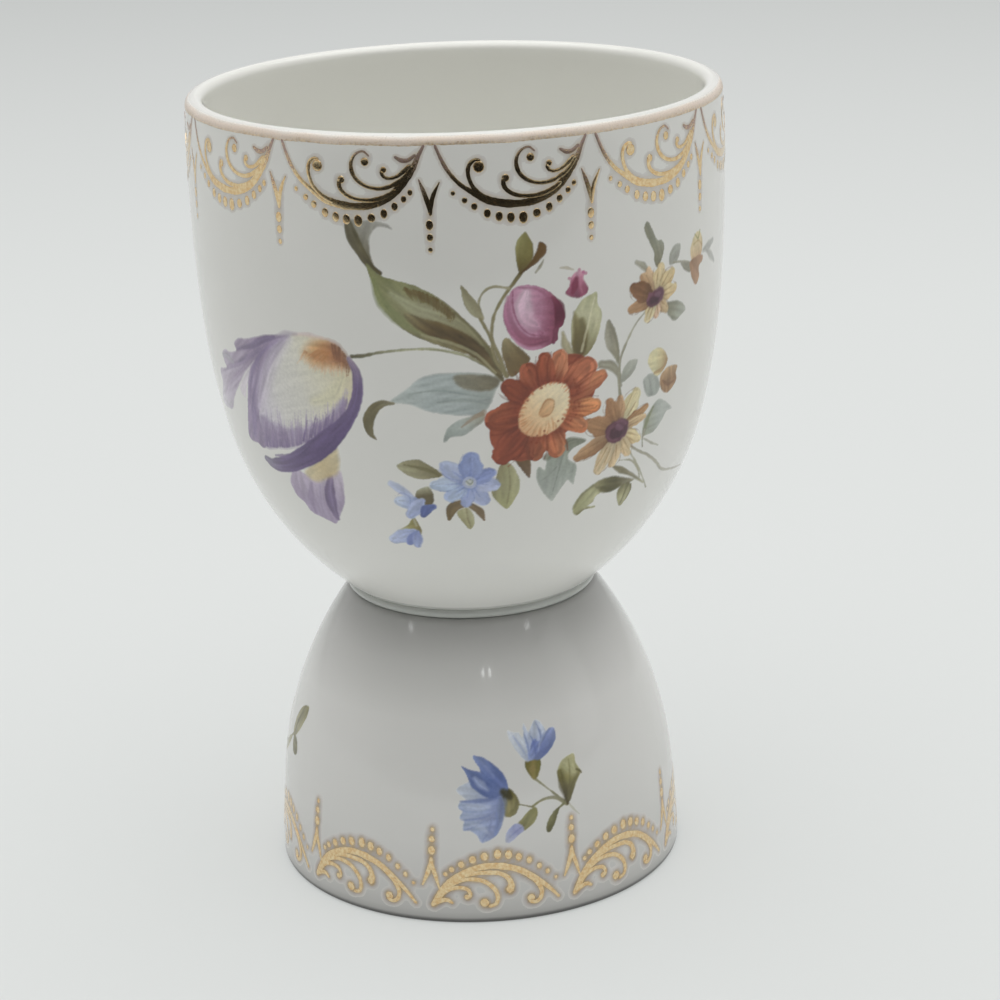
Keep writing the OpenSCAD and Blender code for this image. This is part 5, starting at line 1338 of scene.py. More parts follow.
def side_twig(c):
    """A longer twig with more leaves, on the spray that shows at the left edge of the photograph."""
    c.group = FOOT_LEAVES
    c.brush([(10.6, 13.7), (12.4, 14), (14.6, 14.9), (16.6, 16.2), (18.2, 17.5)],
            [0.35, 0.4, 0.4, 0.4, 0.35], ["#8A8762", "#7F7B5A"])
    c.fill([(17.5, 17), (17.1, 18.6), (17.5, 20.2), (18.5, 21.4), (19.9, 21.7), (20.3, 20.6), (19.9, 19),
            (19.2, 17.8), (18.4, 17)], [(19.6, 21.6), (17.8, 17)],
           ["#77734A", "#8D8963", "#A5A07C", "#7D784E"], soft=0.3, streak=0.14)
    c.brush([(18, 17.4), (18.3, 19.2), (19, 20.8)], [0.3, 0.6, 0.25], ["#605B38"], soft=0.4, cover=0.75)
    c.fill([(18, 17), (19, 17.1), (19.9, 16.5), (20.4, 15.4), (19.6, 14.9), (18.7, 15.3), (18.1, 16.1)],
           [(21, 16.6), (18.3, 16.9)], ["#6F6B45", "#7F7B53"], soft=0.3, streak=0.14)
    c.fill([(17.4, 16.6), (16.8, 15.4), (15.8, 14.2), (14.6, 13.4), (14.2, 13.9), (14.8, 15), (16, 16)],
           [(14.4, 13.5), (17.2, 16.4)], ["#8D8A66", "#9B9873"], soft=0.3, streak=0.14)


foot_spray = Canvas(-4, 14, 9, 25.5, 43)
foot_leaves(foot_spray)
cornflowers(foot_spray)
cornflower_sheets = fired_sheet("cornflowers_painted", foot_wall, foot_spray, CORNFLOWERS, enamel,
                                FOOT_TURNS)
settle(cornflower_sheets, "blue_enamel", "cornflower_enamel")
foot_leaf_sheets = fired_sheet("foot_leaves_painted", foot_wall, foot_spray, FOOT_LEAVES, enamel, FOOT_TURNS)
settle(foot_leaf_sheets, "green_enamel", "foot_leaf_enamel")
twig = Canvas(12.9, 24.5, 12.5, 22.5, 44)
side_twig(twig)
settle(fired_sheet("foot_side_twig_painted", foot_wall, twig, FOOT_LEAVES, enamel, FOOT_TURNS[-1:]),
       "green_enamel")


# Spray on the back of the large bowl: a rose with buds, forget-me-nots and leaves of the front's kinds

BACK_TURN = 180
# petals of the rose, those behind first: tip, width, colours
ROSE_HEART = (-1.4, 34.4)
ROSE_PETALS = [
    ((-7.6, 38), 6.0, ("#B987A2", "#C79AB2")),
    ((-3.4, 41.4), 6.2, ("#C08FA9", "#CBA2B8")),
    ((3.2, 40.4), 6.0, ("#BB89A4", "#A9718F")),
    ((6, 35.2), 5.6, ("#A56C8A", "#8E5472")),
    ((3.8, 29.2), 5.8, ("#8F5674", "#A06583")),
    ((-2.2, 27.6), 6.0, ("#A46B89", "#B580A0")),
    ((-7.6, 31.4), 5.8, ("#B17B98", "#BE8FA8")),
    ((-4.8, 37.4), 4.4, ("#D3AEC2", "#C597AF")),
    ((0.8, 38.2), 4.6, ("#CDA4BB", "#B57F9C")),
    ((2.4, 33.2), 4.2, ("#9C6180", "#8A4E6C")),
    ((-1.8, 30.6), 4.4, ("#99607E", "#B27B99")),
    ((-5.2, 33.6), 4.2, ("#BC88A3", "#CFA6BC")),
]


def back_leaves(c):
    """Five leaves, each with a dark vein, and the stems of the bud and the forget-me-nots."""
    c.group = LEAVES
    for base, tip, width, hues in (
        ((3, 39), (12.6, 45), 3.6, ["#6A5E3E", "#8C8863", "#8F9068", "#7F7757"]),
        ((-6, 31), (-13, 26.4), 3.6, ["#71674A", "#8C8765", "#9C9A78", "#88836A"]),
        ((-5, 38.4), (-9.4, 43.4), 2.6, ["#736B4C", "#8F9068"]),
        ((3, 30), (8.8, 25.2), 2.8, ["#9BA39C", "#B4BCB6", "#AAB4B2"]),
        ((8, 33), (12.8, 34.6), 1.8, ["#867E58", "#9C9A78"]),
    ):
        c.petal(base, tip, width, hues, shape=(0.25, 0.8, 1, 0.8, 0.3), bend=0.6, streak=0.14)
        c.brush([base, (np.array(base) + tip) / 2 + (0.2, 0.3), tip], [0.35, 0.25, 0.12], ["#6A6040"],
                cover=0.6)
    for stem in (
        [(1, 34), (6, 36.2), (10.4, 39.6), (12.6, 41.4)],
        [(-2, 34), (-6, 36.4), (-9.8, 38.6)],
        [(0, 30), (4.6, 29), (8.2, 30.6)],
    ):
        c.brush(stem, [0.5, 0.35, 0.3], ["#8E8A66"])


def back_rose(c):
    """A rose, dark at its heart, and a bud."""
    c.group = ROSEBUD
    heart = np.array(ROSE_HEART)
    for tip, width, hues in ROSE_PETALS:
        (base,) = on_petal(heart, tip, width, (0.12, 0))
        c.petal(base, tip, width, [("#8A4C6A", "#96597A"), hues, hues], streak=0.1, ragged=0.1, soft=0.25)
        edge = on_petal(heart, tip, width, (0.35, 0.42), (0.75, 0.5), (0.97, 0.2))
        c.brush(edge, [0.12, 0.26, 0.12], ["#7E4360"], cover=0.55)
        for left in (-0.25, 0.1):
            a, b = on_petal(heart, tip, width, (0.35, left * 0.5), (0.85, left))
            c.brush([a, (a + b) / 2, b], [0.3, 0.22, 0.1], ["#8E5271"], cover=0.4)
    c.brush([heart + (-1.4, 0.4), heart + (0, 1.2), heart + (1.3, 0), heart + (0, -1.1),
             heart + (-0.9, -0.2)], [0.8, 1.0, 1.0, 0.8, 0.5], ["#6E2C48", "#7C385A", "#652640"], soft=0.35,
            cover=0.9)
    c.brush([heart + (-0.4, 0.2), heart + (0.4, 0.1)], [0.7], ["#B8859C"], soft=0.4, cover=0.7)
    c.fill([(9.8, 41.2), (10.4, 42.8), (11.8, 43.4), (13.2, 42.6), (13.6, 41.2), (12.6, 40), (11, 39.8)],
           [(10, 41.4), (13.4, 41.4)], ["#C596AE", "#B27D97", "#8A4A66"], soft=0.25)


def back_forget_me_nots(c):
    """The front's open forget-me-not, twice, smaller and turned."""
    for place, size, turn in (((-11, 38.6), 0.7, 60), ((9.6, 30.6), 0.62, 150)):
        c.scale, c.angle = size, math.radians(turn)
        c.origin = np.zeros(2)
        c.origin = np.array(place) - c.at(FORGET_HEART)
        forget_me_not(c)
    c.origin, c.angle, c.scale = np.zeros(2), 0.0, 1.0


back = Canvas(-16, 16, 20, 48, 47)
back_leaves(back)
back_forget_me_nots(back)
back_rose(back)
settle(fired_sheet("back_rose_painted", bowl_wall, back, ROSEBUD, enamel, (BACK_TURN,)), "rose_enamel",
       "back_spray_enamel")
settle(fired_sheet("back_leaves_painted", bowl_wall, back, LEAVES, enamel, (BACK_TURN,)), "green_enamel")
back_blue = fired_sheet("back_forget_me_nots_painted", bowl_wall, back, FORGET_ME_NOTS, enamel, (BACK_TURN,))
settle(back_blue, "blue_enamel")


# Gilding: brushed strokes and beads of liquid gold, fired as a thin film on the glaze, over a mauve sheet
# that is partly the stain gold leaves round itself and partly painted shade between the strokes. One repeat
# is drawn, and a ring of copies goes round the wall.

GOLD_DEPTH = 0.04
BEAD_LIFT = 0.018
BEAD_DOME = 0.011
RIBBON_STEP = 0.2
RIBBON_WAVER = 0.09
RIBBON_TIP = 0.02
RIBBON_RISE = 0.004
RIBBON_SHARP_ANGLE = 40
# places across a stroke, as shares of half its width, with the lift of the gold there
RIBBON_SHAPE = [(-1, 0.026), (-0.5, 0.034), (0.5, 0.034), (1, 0.026)]

# Gold is drawn as strokes (points, widths along them, how thick it lies along them), balls at the
# ends of the curls (place, radius) and beads (place, width, height).
BOWL_STROKES = [([(-2.2, 62.45), (-1.6, 61), (-0.9, 59.7), (0.2, 58.4), (1.6, 57.4), (2.95, 56.6),
                  (4.55, 56.15), (6.1, 55.95), (7.95, 56.05), (9.1, 56.4), (10.5, 57.1), (11.8, 58.3),
                  (12.95, 59.9), (13.6, 61.3), (14.2, 62.45)],
                 [0.3, 0.4, 0.42, 0.45, 0.6, 0.8, 0.9, 0.8, 0.85, 0.85, 0.85, 0.8, 0.7, 0.5, 0.3],
                 [0.4, 0.5, 0.62, 0.85, 1, 1, 1, 1, 1, 1, 1, 0.9, 0.7, 0.5, 0.4]),
                ([(2.4, 60.8), (1.9, 60.85), (1.35, 60.4), (1.15, 59.7), (1.25, 58.9), (1.7, 57.9),
                  (2.6, 57), (3.9, 56.35)], [0.3, 0.45, 0.45, 0.4, 0.45, 0.5, 0.6, 0.5],
                 [0.85, 0.9, 0.9, 1]),
                ([(4.9, 58.6), (4.85, 58.2), (5.1, 57.6), (5.9, 57), (7.05, 56.7), (8.6, 56.7), (10, 57.1),
                  (11.1, 57.75)], [0.5, 0.5, 0.46, 0.44, 0.45, 0.5, 0.5, 0.4], [1]),
                ([(8.3, 61.4), (7.7, 61.85), (6.9, 61.6), (6.4, 60.9), (6.3, 60.1), (6.6, 59.2), (7.3, 58.5),
                  (8.3, 58.05), (9.6, 57.95), (10.9, 58.35), (12.05, 59.1), (12.95, 60.25)],
                 [0.2, 0.24, 0.36, 0.46, 0.46, 0.42, 0.42, 0.46, 0.5, 0.45, 0.4],
                 [0.45, 0.55, 0.8, 1, 1, 1, 1, 0.9, 0.8]),
                ([(9.65, 59.7), (9.9, 59.25), (10.5, 59.05), (11.3, 59.25), (12, 59.75), (12.7, 60.4)],
                 [0.4, 0.36, 0.36, 0.4, 0.5, 0.4], [1, 0.9, 0.7]),
                ([(11.2, 61.3), (11.9, 60.95), (12.6, 61), (13.3, 61.5)], [0.3, 0.5, 0.42, 0.3], [0.5])]
BOWL_BALLS = [((2.3, 60.1), 0.62), ((5.1, 58.75), 0.42), ((7.85, 60.75), 0.45), ((9.9, 59.95), 0.34)]
BOWL_BEADS = [((-0.5, 57.4), 0.5, 0.55), ((0.7, 56.6), 0.64, 0.7), ((1.7, 55.9), 0.72, 0.84),
              ((3.05, 55.1), 0.8, 1.04), ((4.3, 54.7), 0.84, 1.12), ((5.55, 54.5), 0.9, 1.2),
              ((6.9, 54.4), 1.0, 1.4), ((8.4, 54.75), 0.92, 1.04), ((9.8, 55.25), 0.8, 1.1),
              ((11, 56.05), 0.74, 0.96), ((12, 56.85), 0.64, 0.8), ((12.7, 57.55), 0.56, 0.72)]
BOWL_PRONGS = [([(-4.05, 58.9), (-3.5, 57.4), (-3.1, 56.1), (-2.98, 55.3)], [0.16, 0.5, 0.55, 0.3],
                [0.55, 0.6, 0.9, 1]),
               ([(-1.9, 58.6), (-2.5, 57.4), (-2.85, 56.3), (-2.95, 55.15)], [0.14, 0.4, 0.55, 0.3], [1])]
BOWL_DROPS = [((-3.1, 54.05), 0.84, 1.2), ((-3.1, 52.7), 0.72, 0.9), ((-3.1, 51.35), 0.52, 0.6)]

FOOT_STROKES = [([(-6.05, 2.3), (-5.4, 3.4), (-4.4, 4.8), (-3.05, 6), (-1.15, 6.95), (0.7, 7.3), (2.4, 7.15),
                  (4.25, 6.55), (5.7, 5.6), (7.15, 4.45), (8.2, 3.4), (9.05, 2.4)],
                 [0.5, 0.7, 0.75, 0.7, 0.72, 0.75, 0.8, 0.75, 0.75, 0.6, 0.45, 0.3], [1]),
                ([(-3.6, 5.4), (-2.4, 6.1), (-0.6, 6.45), (1, 6.45), (1.95, 6.3), (2.9, 5.7), (3.3, 4.8),
                  (3.15, 4.1)], [0.5, 0.5, 0.46, 0.5, 0.55, 0.5, 0.65, 0.85], [1]),
                ([(-5.3, 3.4), (-4.2, 4.7), (-2.7, 5.5), (-1.35, 5.7), (0.1, 5.4), (1.25, 4.45), (1.65, 3.4),
                  (1.45, 2.5), (0.7, 2.2)], [0.6, 0.55, 0.5, 0.46, 0.5, 0.5, 0.5, 0.45, 0.35], [1]),
                ([(-5.5, 3), (-4.6, 4), (-3.7, 4.5), (-2.8, 4.65), (-1.9, 4.45), (-1.55, 3.9), (-1.6, 3.5)],
                 [0.5, 0.5, 0.46, 0.46, 0.45, 0.45, 0.4], [1]),
                ([(-5.7, 2.6), (-4.8, 3), (-4.2, 3), (-3.7, 2.7)], [0.5, 0.5, 0.5, 0.3], [0.9]),
                ([(5.2, 5.8), (6, 5.2), (6.6, 4.4), (6.95, 3.5), (6.75, 2.6), (6.1, 2.2), (5.5, 2.4)],
                 [0.5, 0.55, 0.55, 0.5, 0.5, 0.45, 0.4], [1])]
FOOT_BALLS = [((-1.95, 3.45), 0.34), ((0.1, 2.7), 0.55), ((5.65, 2.8), 0.5), ((3.1, 4.2), 0.45)]
FOOT_BEADS = [((-4.4, 6.3), 0.56, 0.6), ((-3.65, 6.9), 0.68, 0.74), ((-2.5, 7.55), 0.8, 0.9),
              ((-1.15, 8.15), 0.9, 1.04), ((0.25, 8.5), 0.92, 1.1), ((1.8, 8.7), 0.92, 1.3),
              ((3.1, 8.55), 0.92, 1.2), ((4.3, 8.15), 0.82, 1.04), ((5.55, 7.6), 0.72, 0.94),
              ((6.75, 6.7), 0.66, 0.78), ((7.75, 5.85), 0.56, 0.7), ((8.75, 4.9), 0.4, 0.46)]
FOOT_PRONGS = [
    ([(9.9, 4.8), (10.5, 6.35), (10.82, 7.4), (10.88, 8.1)], [0.18, 0.45, 0.55, 0.3], [1]),
    ([(11.95, 4.4), (11.4, 6.2), (11, 7.4), (10.92, 8.2)], [0.16, 0.45, 0.5, 0.3], [1]),
]
FOOT_DROPS = [((10.95, 9.2), 0.9, 1.2), ((10.95, 10.6), 0.76, 0.84), ((11, 11.8), 0.5, 0.6)]

BOWL_FESTOONS = 11
FOOT_FESTOONS = 9
STAIN_AND_SHADE_CELL = 0.25
# layers of the stain and painted shade, outer one first: colour, how far it reaches past the gold, softness,
# strength. The wide grey outer layer also darkens the glaze between the strokes: painted shade.
STAIN_AND_SHADE_LAYERS = [("#A39898", 1.2, 0.9, 0.5), ("#B4965F", 0.34, 0.35, 0.75)]


def gold_ribbon(parts, wall, stroke, lift, dice):
    """One stroke of gold as a closed, thin film along a line. Adds its points, faces and thickness."""
    points, widths, laid = stroke
    line = smooth_line(points, RIBBON_STEP)
    run = np.gradient(line, axis=0)
    run /= np.linalg.norm(run, axis=1)[:, None]
    side = np.stack([-run[:, 1], run[:, 0]], 1)
    share = np.linspace(0, 1, len(line))
    half = spread(widths, share) / 2 * (1 + dice.uniform(-RIBBON_WAVER, RIBBON_WAVER, len(line)))
    start, end = line[0] - run[0] * half[0], line[-1] + run[-1] * half[-1]
    line = np.vstack([start, line, end])
    side = np.vstack([side[0], side, side[-1]])
    half = np.concatenate([[RIBBON_TIP], half, [RIBBON_TIP]])
    rings = []
    for across, up in RIBBON_SHAPE:
        place = line + side * (half * across)[:, None]
        rings.append(wall.place(place[:, 0], place[:, 1], up + lift))
    for across in (1, -1):
        place = line + side * (half * across)[:, None]
        rings.append(wall.place(place[:, 0], place[:, 1], -GOLD_DEPTH))
    count, around = len(line), len(rings)
    base = sum(len(made[0]) for made in parts)
    grid = base + np.arange(count * around).reshape(count, around)
    faces = []
    for low, high in zip(grid, grid[1:]):
        faces += [(low[j], high[j], high[(j + 1) % around], low[(j + 1) % around]) for j in range(around)]
    faces += [tuple(grid[0]), tuple(grid[-1, ::-1])]
    thick = np.interp(np.linspace(0, 1, count), np.linspace(0, 1, max(2, len(laid))),
                      laid if len(laid) > 1 else laid * 2)
    parts.append((np.stack(rings, 1).reshape(-1, 3), faces, np.repeat(thick, around)))


def ribbons_mesh(name, wall, strokes, dice):
    """Strokes of gold in one mesh, each a little higher than the one before it."""
    parts = []
    for i, stroke in enumerate(strokes):
        gold_ribbon(parts, wall, stroke, RIBBON_RISE * i, dice)
    faces = [face for made in parts for face in made[1]]
    piece = mesh_piece(name, np.vstack([made[0] for made in parts]), faces)
    piece.data.set_sharp_from_angle(angle=math.radians(RIBBON_SHARP_ANGLE))
    thick = piece.data.attributes.new("laid", "FLOAT", "POINT")
    thick.data.foreach_set("value", np.concatenate([made[2] for made in parts]))
    return piece


def beads_mesh(name, wall, beads):
    """Points for beads, each with its size, its turn and its gold."""
    places = np.array([bead[0] for bead in beads], float)
    points = wall.place(places[:, 0], places[:, 1], BEAD_LIFT)
    mesh = bpy.data.meshes.new(name)
    mesh.from_pydata(points * MM, [], [])
    piece = bpy.data.objects.new(name, mesh)
    bpy.context.scene.collection.objects.link(piece)
    turns, sizes = [], []
    for way, (_, width, height) in zip(wall.outward(places[:, 0], places[:, 1]), beads):
        side = np.cross([0, 0, 1], way)
        side /= np.linalg.norm(side)
        turns.append(Matrix(np.stack([side, np.cross(way, side), way], 1)).to_euler()[:])
        sizes.append((width / 2, height / 2, BEAD_DOME))
    for label, values in (("turn", turns), ("size", sizes)):
        mesh.attributes.new(label, "FLOAT_VECTOR", "POINT").data.foreach_set("vector", np.ravel(values))
    mesh.attributes.new("laid", "FLOAT", "POINT").data.foreach_set("value", [1.0] * len(beads))
    return piece


def ring_tree(beads):
    """Geometry nodes: copies of one repeat in a ring round the axis. With beads, the repeat's points
    first become low domes of their own size and turn."""
    tree = bpy.data.node_groups.new("ring of beads" if beads else "ring of repeats", "GeometryNodeTree")
    tree.interface.new_socket("Geometry", in_out="INPUT", socket_type="NodeSocketGeometry")
    count = tree.interface.new_socket("Count", in_out="INPUT", socket_type="NodeSocketInt")
    material = tree.interface.new_socket("Material", in_out="INPUT", socket_type="NodeSocketMaterial")
    tree.interface.new_socket("Geometry", in_out="OUTPUT", socket_type="NodeSocketGeometry")
    given = add(tree, "NodeGroupInput").outputs
    repeat = given["Geometry"]
    if beads:
        ball = add(tree, "GeometryNodeMeshUVSphere", {"Segments": 10, "Rings": 6, "Radius": MM})
        smooth = add(tree, "GeometryNodeSetShadeSmooth", {"Geometry": ball.outputs["Mesh"]})
        size = add(tree, "GeometryNodeInputNamedAttribute", {"Name": "size"}, data_type="FLOAT_VECTOR")
        turn = add(tree, "GeometryNodeInputNamedAttribute", {"Name": "turn"}, data_type="FLOAT_VECTOR")
        way = add(tree, "FunctionNodeEulerToRotation", {0: turn.outputs["Attribute"]})
        domes = add(tree, "GeometryNodeInstanceOnPoints",
                    {"Points": repeat, "Instance": smooth.outputs[0], "Rotation": way.outputs[0],
                     "Scale": size.outputs["Attribute"]})
        repeat = add(tree, "GeometryNodeRealizeInstances", {0: domes.outputs[0]}).outputs[0]
    spots = add(tree, "GeometryNodePoints", {"Count": given["Count"]})
    index = add(tree, "GeometryNodeInputIndex")
    step = add(tree, "ShaderNodeMath", {0: math.tau, 1: given["Count"]}, operation="DIVIDE")
    angle = add(tree, "ShaderNodeMath", {0: index.outputs[0], 1: step.outputs[0]}, operation="MULTIPLY")
    spin = add(tree, "ShaderNodeCombineXYZ", {"Z": angle.outputs[0]})
    way = add(tree, "FunctionNodeEulerToRotation", {0: spin.outputs[0]})
    ring = add(tree, "GeometryNodeInstanceOnPoints",
               {"Points": spots.outputs[0], "Instance": repeat, "Rotation": way.outputs[0]})
    whole = add(tree, "GeometryNodeRealizeInstances", {0: ring.outputs[0]})
    dressed = add(tree, "GeometryNodeSetMaterial",
                  {"Geometry": whole.outputs[0], "Material": given["Material"]})
    add(tree, "NodeGroupOutput", {0: dressed.outputs[0]})
    return tree, count.identifier, material.identifier


def ring_of(piece, ring, count, material, *nodes):
    """Turns one repeat into the whole ring, as a plain mesh, and settles it on the cup."""
    tree, count_input, material_input = ring
    modifier = piece.modifiers.new("ring", "NODES")
    modifier.node_group = tree
    modifier[count_input] = count
    modifier[material_input] = material
    seen = piece.evaluated_get(bpy.context.evaluated_depsgraph_get())
    made = bpy.data.meshes.new_from_object(seen)
    piece.modifiers.clear()
    piece.data = made
    return settle(piece, "gilding", *nodes)


def gilt_border(bowl, wall, stain_and_shade, strokes, balls, beads, prongs, drops, count, cover):
    """The gilding of one bowl: festoons, beads and pendants, with the stain and painted shade they lie on.
    count is the number of repeats, and cover how strong the stain and painted shade are."""
    dice = np.random.default_rng(29)
    rounds = [(place, 2 * r, 2.1 * r) for place, r in balls] + beads + drops
    for hue, margin, soft, strength in STAIN_AND_SHADE_LAYERS:
        style = {"soft": soft, "streak": 0.1, "cover": cover * strength}
        for points, widths, _ in strokes + prongs:
            stain_and_shade.brush(points, [w + margin for w in widths], [hue], **style)
        for place, w, h in rounds:
            up = np.array([0, (h - w) / 2 + 0.02])
            stain_and_shade.brush([place - up, place + up], [w + margin], [hue], **style)
    stain_and_shade_sheet = fired_sheet(f"{bowl}_gilt_stain_and_shade", wall, stain_and_shade, 0, enamel)
    ring_of(stain_and_shade_sheet, REPEATS, count, enamel)
    festoons = ribbons_mesh(f"{bowl}_festoons_gilt", wall, strokes, dice)
    ring_of(festoons, REPEATS, count, gold, f"{bowl}_gilt_festoons")
    ring_of(beads_mesh(f"{bowl}_curl_balls_gilt", wall, rounds[: len(balls)]), BEADS, count, gold)
    ring_of(beads_mesh(f"{bowl}_beads_gilt", wall, beads), BEADS, count, gold, f"{bowl}_gilt_beads")
    pendants = ribbons_mesh(f"{bowl}_pendants_gilt", wall, prongs, dice)
    ring_of(pendants, REPEATS, count, gold, f"{bowl}_gilt_pendants")
    ring_of(beads_mesh(f"{bowl}_pendant_beads_gilt", wall, drops), BEADS, count, gold)


gold = fired_gold()
REPEATS = ring_tree(False)
BEADS = ring_tree(True)
gilt_border("bowl", bowl_wall, Canvas(-5.5, 15.5, 50, 62.5, 31, STAIN_AND_SHADE_CELL), BOWL_STROKES, BOWL_BALLS,
            BOWL_BEADS, BOWL_PRONGS, BOWL_DROPS, BOWL_FESTOONS, 0.3)
gilt_border("foot", foot_wall, Canvas(-7.5, 13.5, 0.8, 13, 37, STAIN_AND_SHADE_CELL), FOOT_STROKES, FOOT_BALLS,
            FOOT_BEADS, FOOT_PRONGS, FOOT_DROPS, FOOT_FESTOONS, 0.8)


# Lip line: a thin band of gold from the outside of the lip over its round, rubbed with use

LIP_LINE_LOW = 62.48
LIP_WAVES = 70
LIP_WAVE_HEIGHT = 0.05
LIP_FRAY = 0.03
LIP_ROUND_START = 12
LIP_TURN = 56
# how thick the gold lies: at the band's lower edge, up the outside, and over the round
LIP_LAID = [(0, -GOLD_DEPTH, 1.0), (0, 0.0, 1.15), (0.35, 0.02, 1.0), (0.8, 0.022, 0.75)]
ROUND_LAID = (0.6, 0.54, 0.48, 0.42, 0.35, 0.28, 0.18, 0.1)


def lip_line():
    """A closed ring of gold over the lip, with a frayed lower edge, rubbed thin over the round."""
    dice = np.random.default_rng(41)
    count = TURN_STEPS * 3
    lip_x, lip_r = (lip_out + lip_in) / 2, (lip_out - lip_in) / 2
    turn = np.arange(count) * math.tau / count
    slow = table_at(dice.uniform(-1, 1, (1, LIP_WAVES)), np.zeros(count), np.arange(count) / count)
    fast = dice.uniform(-1, 1, count)
    low_z = np.interp(LIP_LINE_LOW + LIP_WAVE_HEIGHT * slow + LIP_FRAY * fast, bowl_wall.y, bowl_wall.z)
    rows, laid = [], []
    for share, lift, thick in LIP_LAID:
        z = low_z + (LIP_Z - low_z) * share
        rows.append((arc_x(bowl_side, z) + lift, z))
        laid.append(np.full(count, thick))
    for angle, thick in zip(np.linspace(LIP_ROUND_START, LIP_TURN, len(ROUND_LAID)), ROUND_LAID):
        a = math.radians(angle)
        r = lip_r + (0.015 if angle < LIP_TURN else 0)
        rows.append((np.full(count, lip_x + r * math.cos(a)), np.full(count, LIP_Z + r * math.sin(a))))
        laid.append(np.full(count, thick))
    a = math.radians(LIP_TURN)
    inner = lip_r - GOLD_DEPTH
    rows.append((np.full(count, lip_x + inner * math.cos(a)), np.full(count, LIP_Z + inner * math.sin(a))))
    laid.append(np.full(count, 0.05))
    points = np.vstack([np.stack([r * np.sin(turn), -r * np.cos(turn), z], 1) for r, z in rows])
    grid = np.arange(len(rows) * count).reshape(len(rows), count)
    faces = []
    for k in range(len(rows)):
        low, high = grid[k], grid[(k + 1) % len(rows)]
        faces += [(low[i], low[(i + 1) % count], high[(i + 1) % count], high[i]) for i in range(count)]
    piece = mesh_piece("lip_line_gilt", points, faces, rubbed_gold())
    thick = np.clip(np.concatenate(laid) + 0.12 * np.tile(slow, len(rows)), 0, 1)
    piece.data.attributes.new("laid", "FLOAT", "POINT").data.foreach_set("value", thick)
    settle(piece, "gilding", "lip_gilding")


lip_line()


# Camera, placed where the photograph was taken from

LENS = 98.34
SENSOR = 36
CAMERA_PLACE = (0, -313.2, 150.0)
CAMERA_PITCH = 18.674
CAMERA_YAW = 0.686
CAMERA_ROLL = -1.901


def aim_camera():
    """The camera that a perspective fit of the cup's outline gives: place, pitch, yaw and roll."""
    pitch, yaw, roll = (math.radians(a) for a in (CAMERA_PITCH, CAMERA_YAW, CAMERA_ROLL))
    level = math.cos(pitch)
    forward = np.array([math.sin(yaw) * level, math.cos(yaw) * level, -math.sin(pitch)])
    right = np.cross(forward, [0, 0, 1])
    right /= np.linalg.norm(right)
    up = np.cross(right, forward)
    side = math.cos(roll) * right + math.sin(roll) * up
    top = -math.sin(roll) * right + math.cos(roll) * up
    data = bpy.data.cameras.new("camera")
    data.lens = LENS
    data.sensor_width = SENSOR
    data.clip_start = 10 * MM
    camera = bpy.data.objects.new("camera", data)
    bpy.context.scene.collection.objects.link(camera)
    place = np.array(CAMERA_PLACE) * MM
    camera.matrix_world = Matrix(np.vstack([np.stack([side, top, -forward, place], 1), [0, 0, 0, 1]]))
    bpy.context.scene.camera = camera


aim_camera()


# Studio: white paper, soft light from above and a little from the right, and a room that is darker
# in front of the cup than behind it

FLOOR_COLOUR = "#EEF0EF"
FLOOR_SEEN = "#D3D6D4"
FLOOR_FAR_LEVEL = 0.63
FLOOR_EVENNESS = 0.6
# places on the floor from front to back, in millimetres: where it starts to darken and has darkened,
# and where it is evened in part and wholly
FLOOR_FADE = (250, 1200)
FLOOR_EVEN = (-100, -260)
FLOOR_R = 40000
FLOOR_SIDES = 64
CLOTH_COLOUR = "#202020"
CLOTH_FRONT = 265
CLOTH_BACK = 1600
CLOTH_HALF = 700
FRONT_LOW_LEVEL = 0.05
FRONT_HIGH_LEVEL = 1.0
BACK_LEVEL = 0.63
WINDOW_AIM = (0, 0, 30)
# lamps whose mirror images the photograph shows on the small bowl: place, height and width, power
WINDOWS = [
    ((-491, -242, 485), (55, 14), 0.014),
    ((431, -309, 505), (55, 14), 0.014),
    ((44, -422, 322), (9, 20), 0.008),
    ((83, -416, 320), (9, 20), 0.008),
]


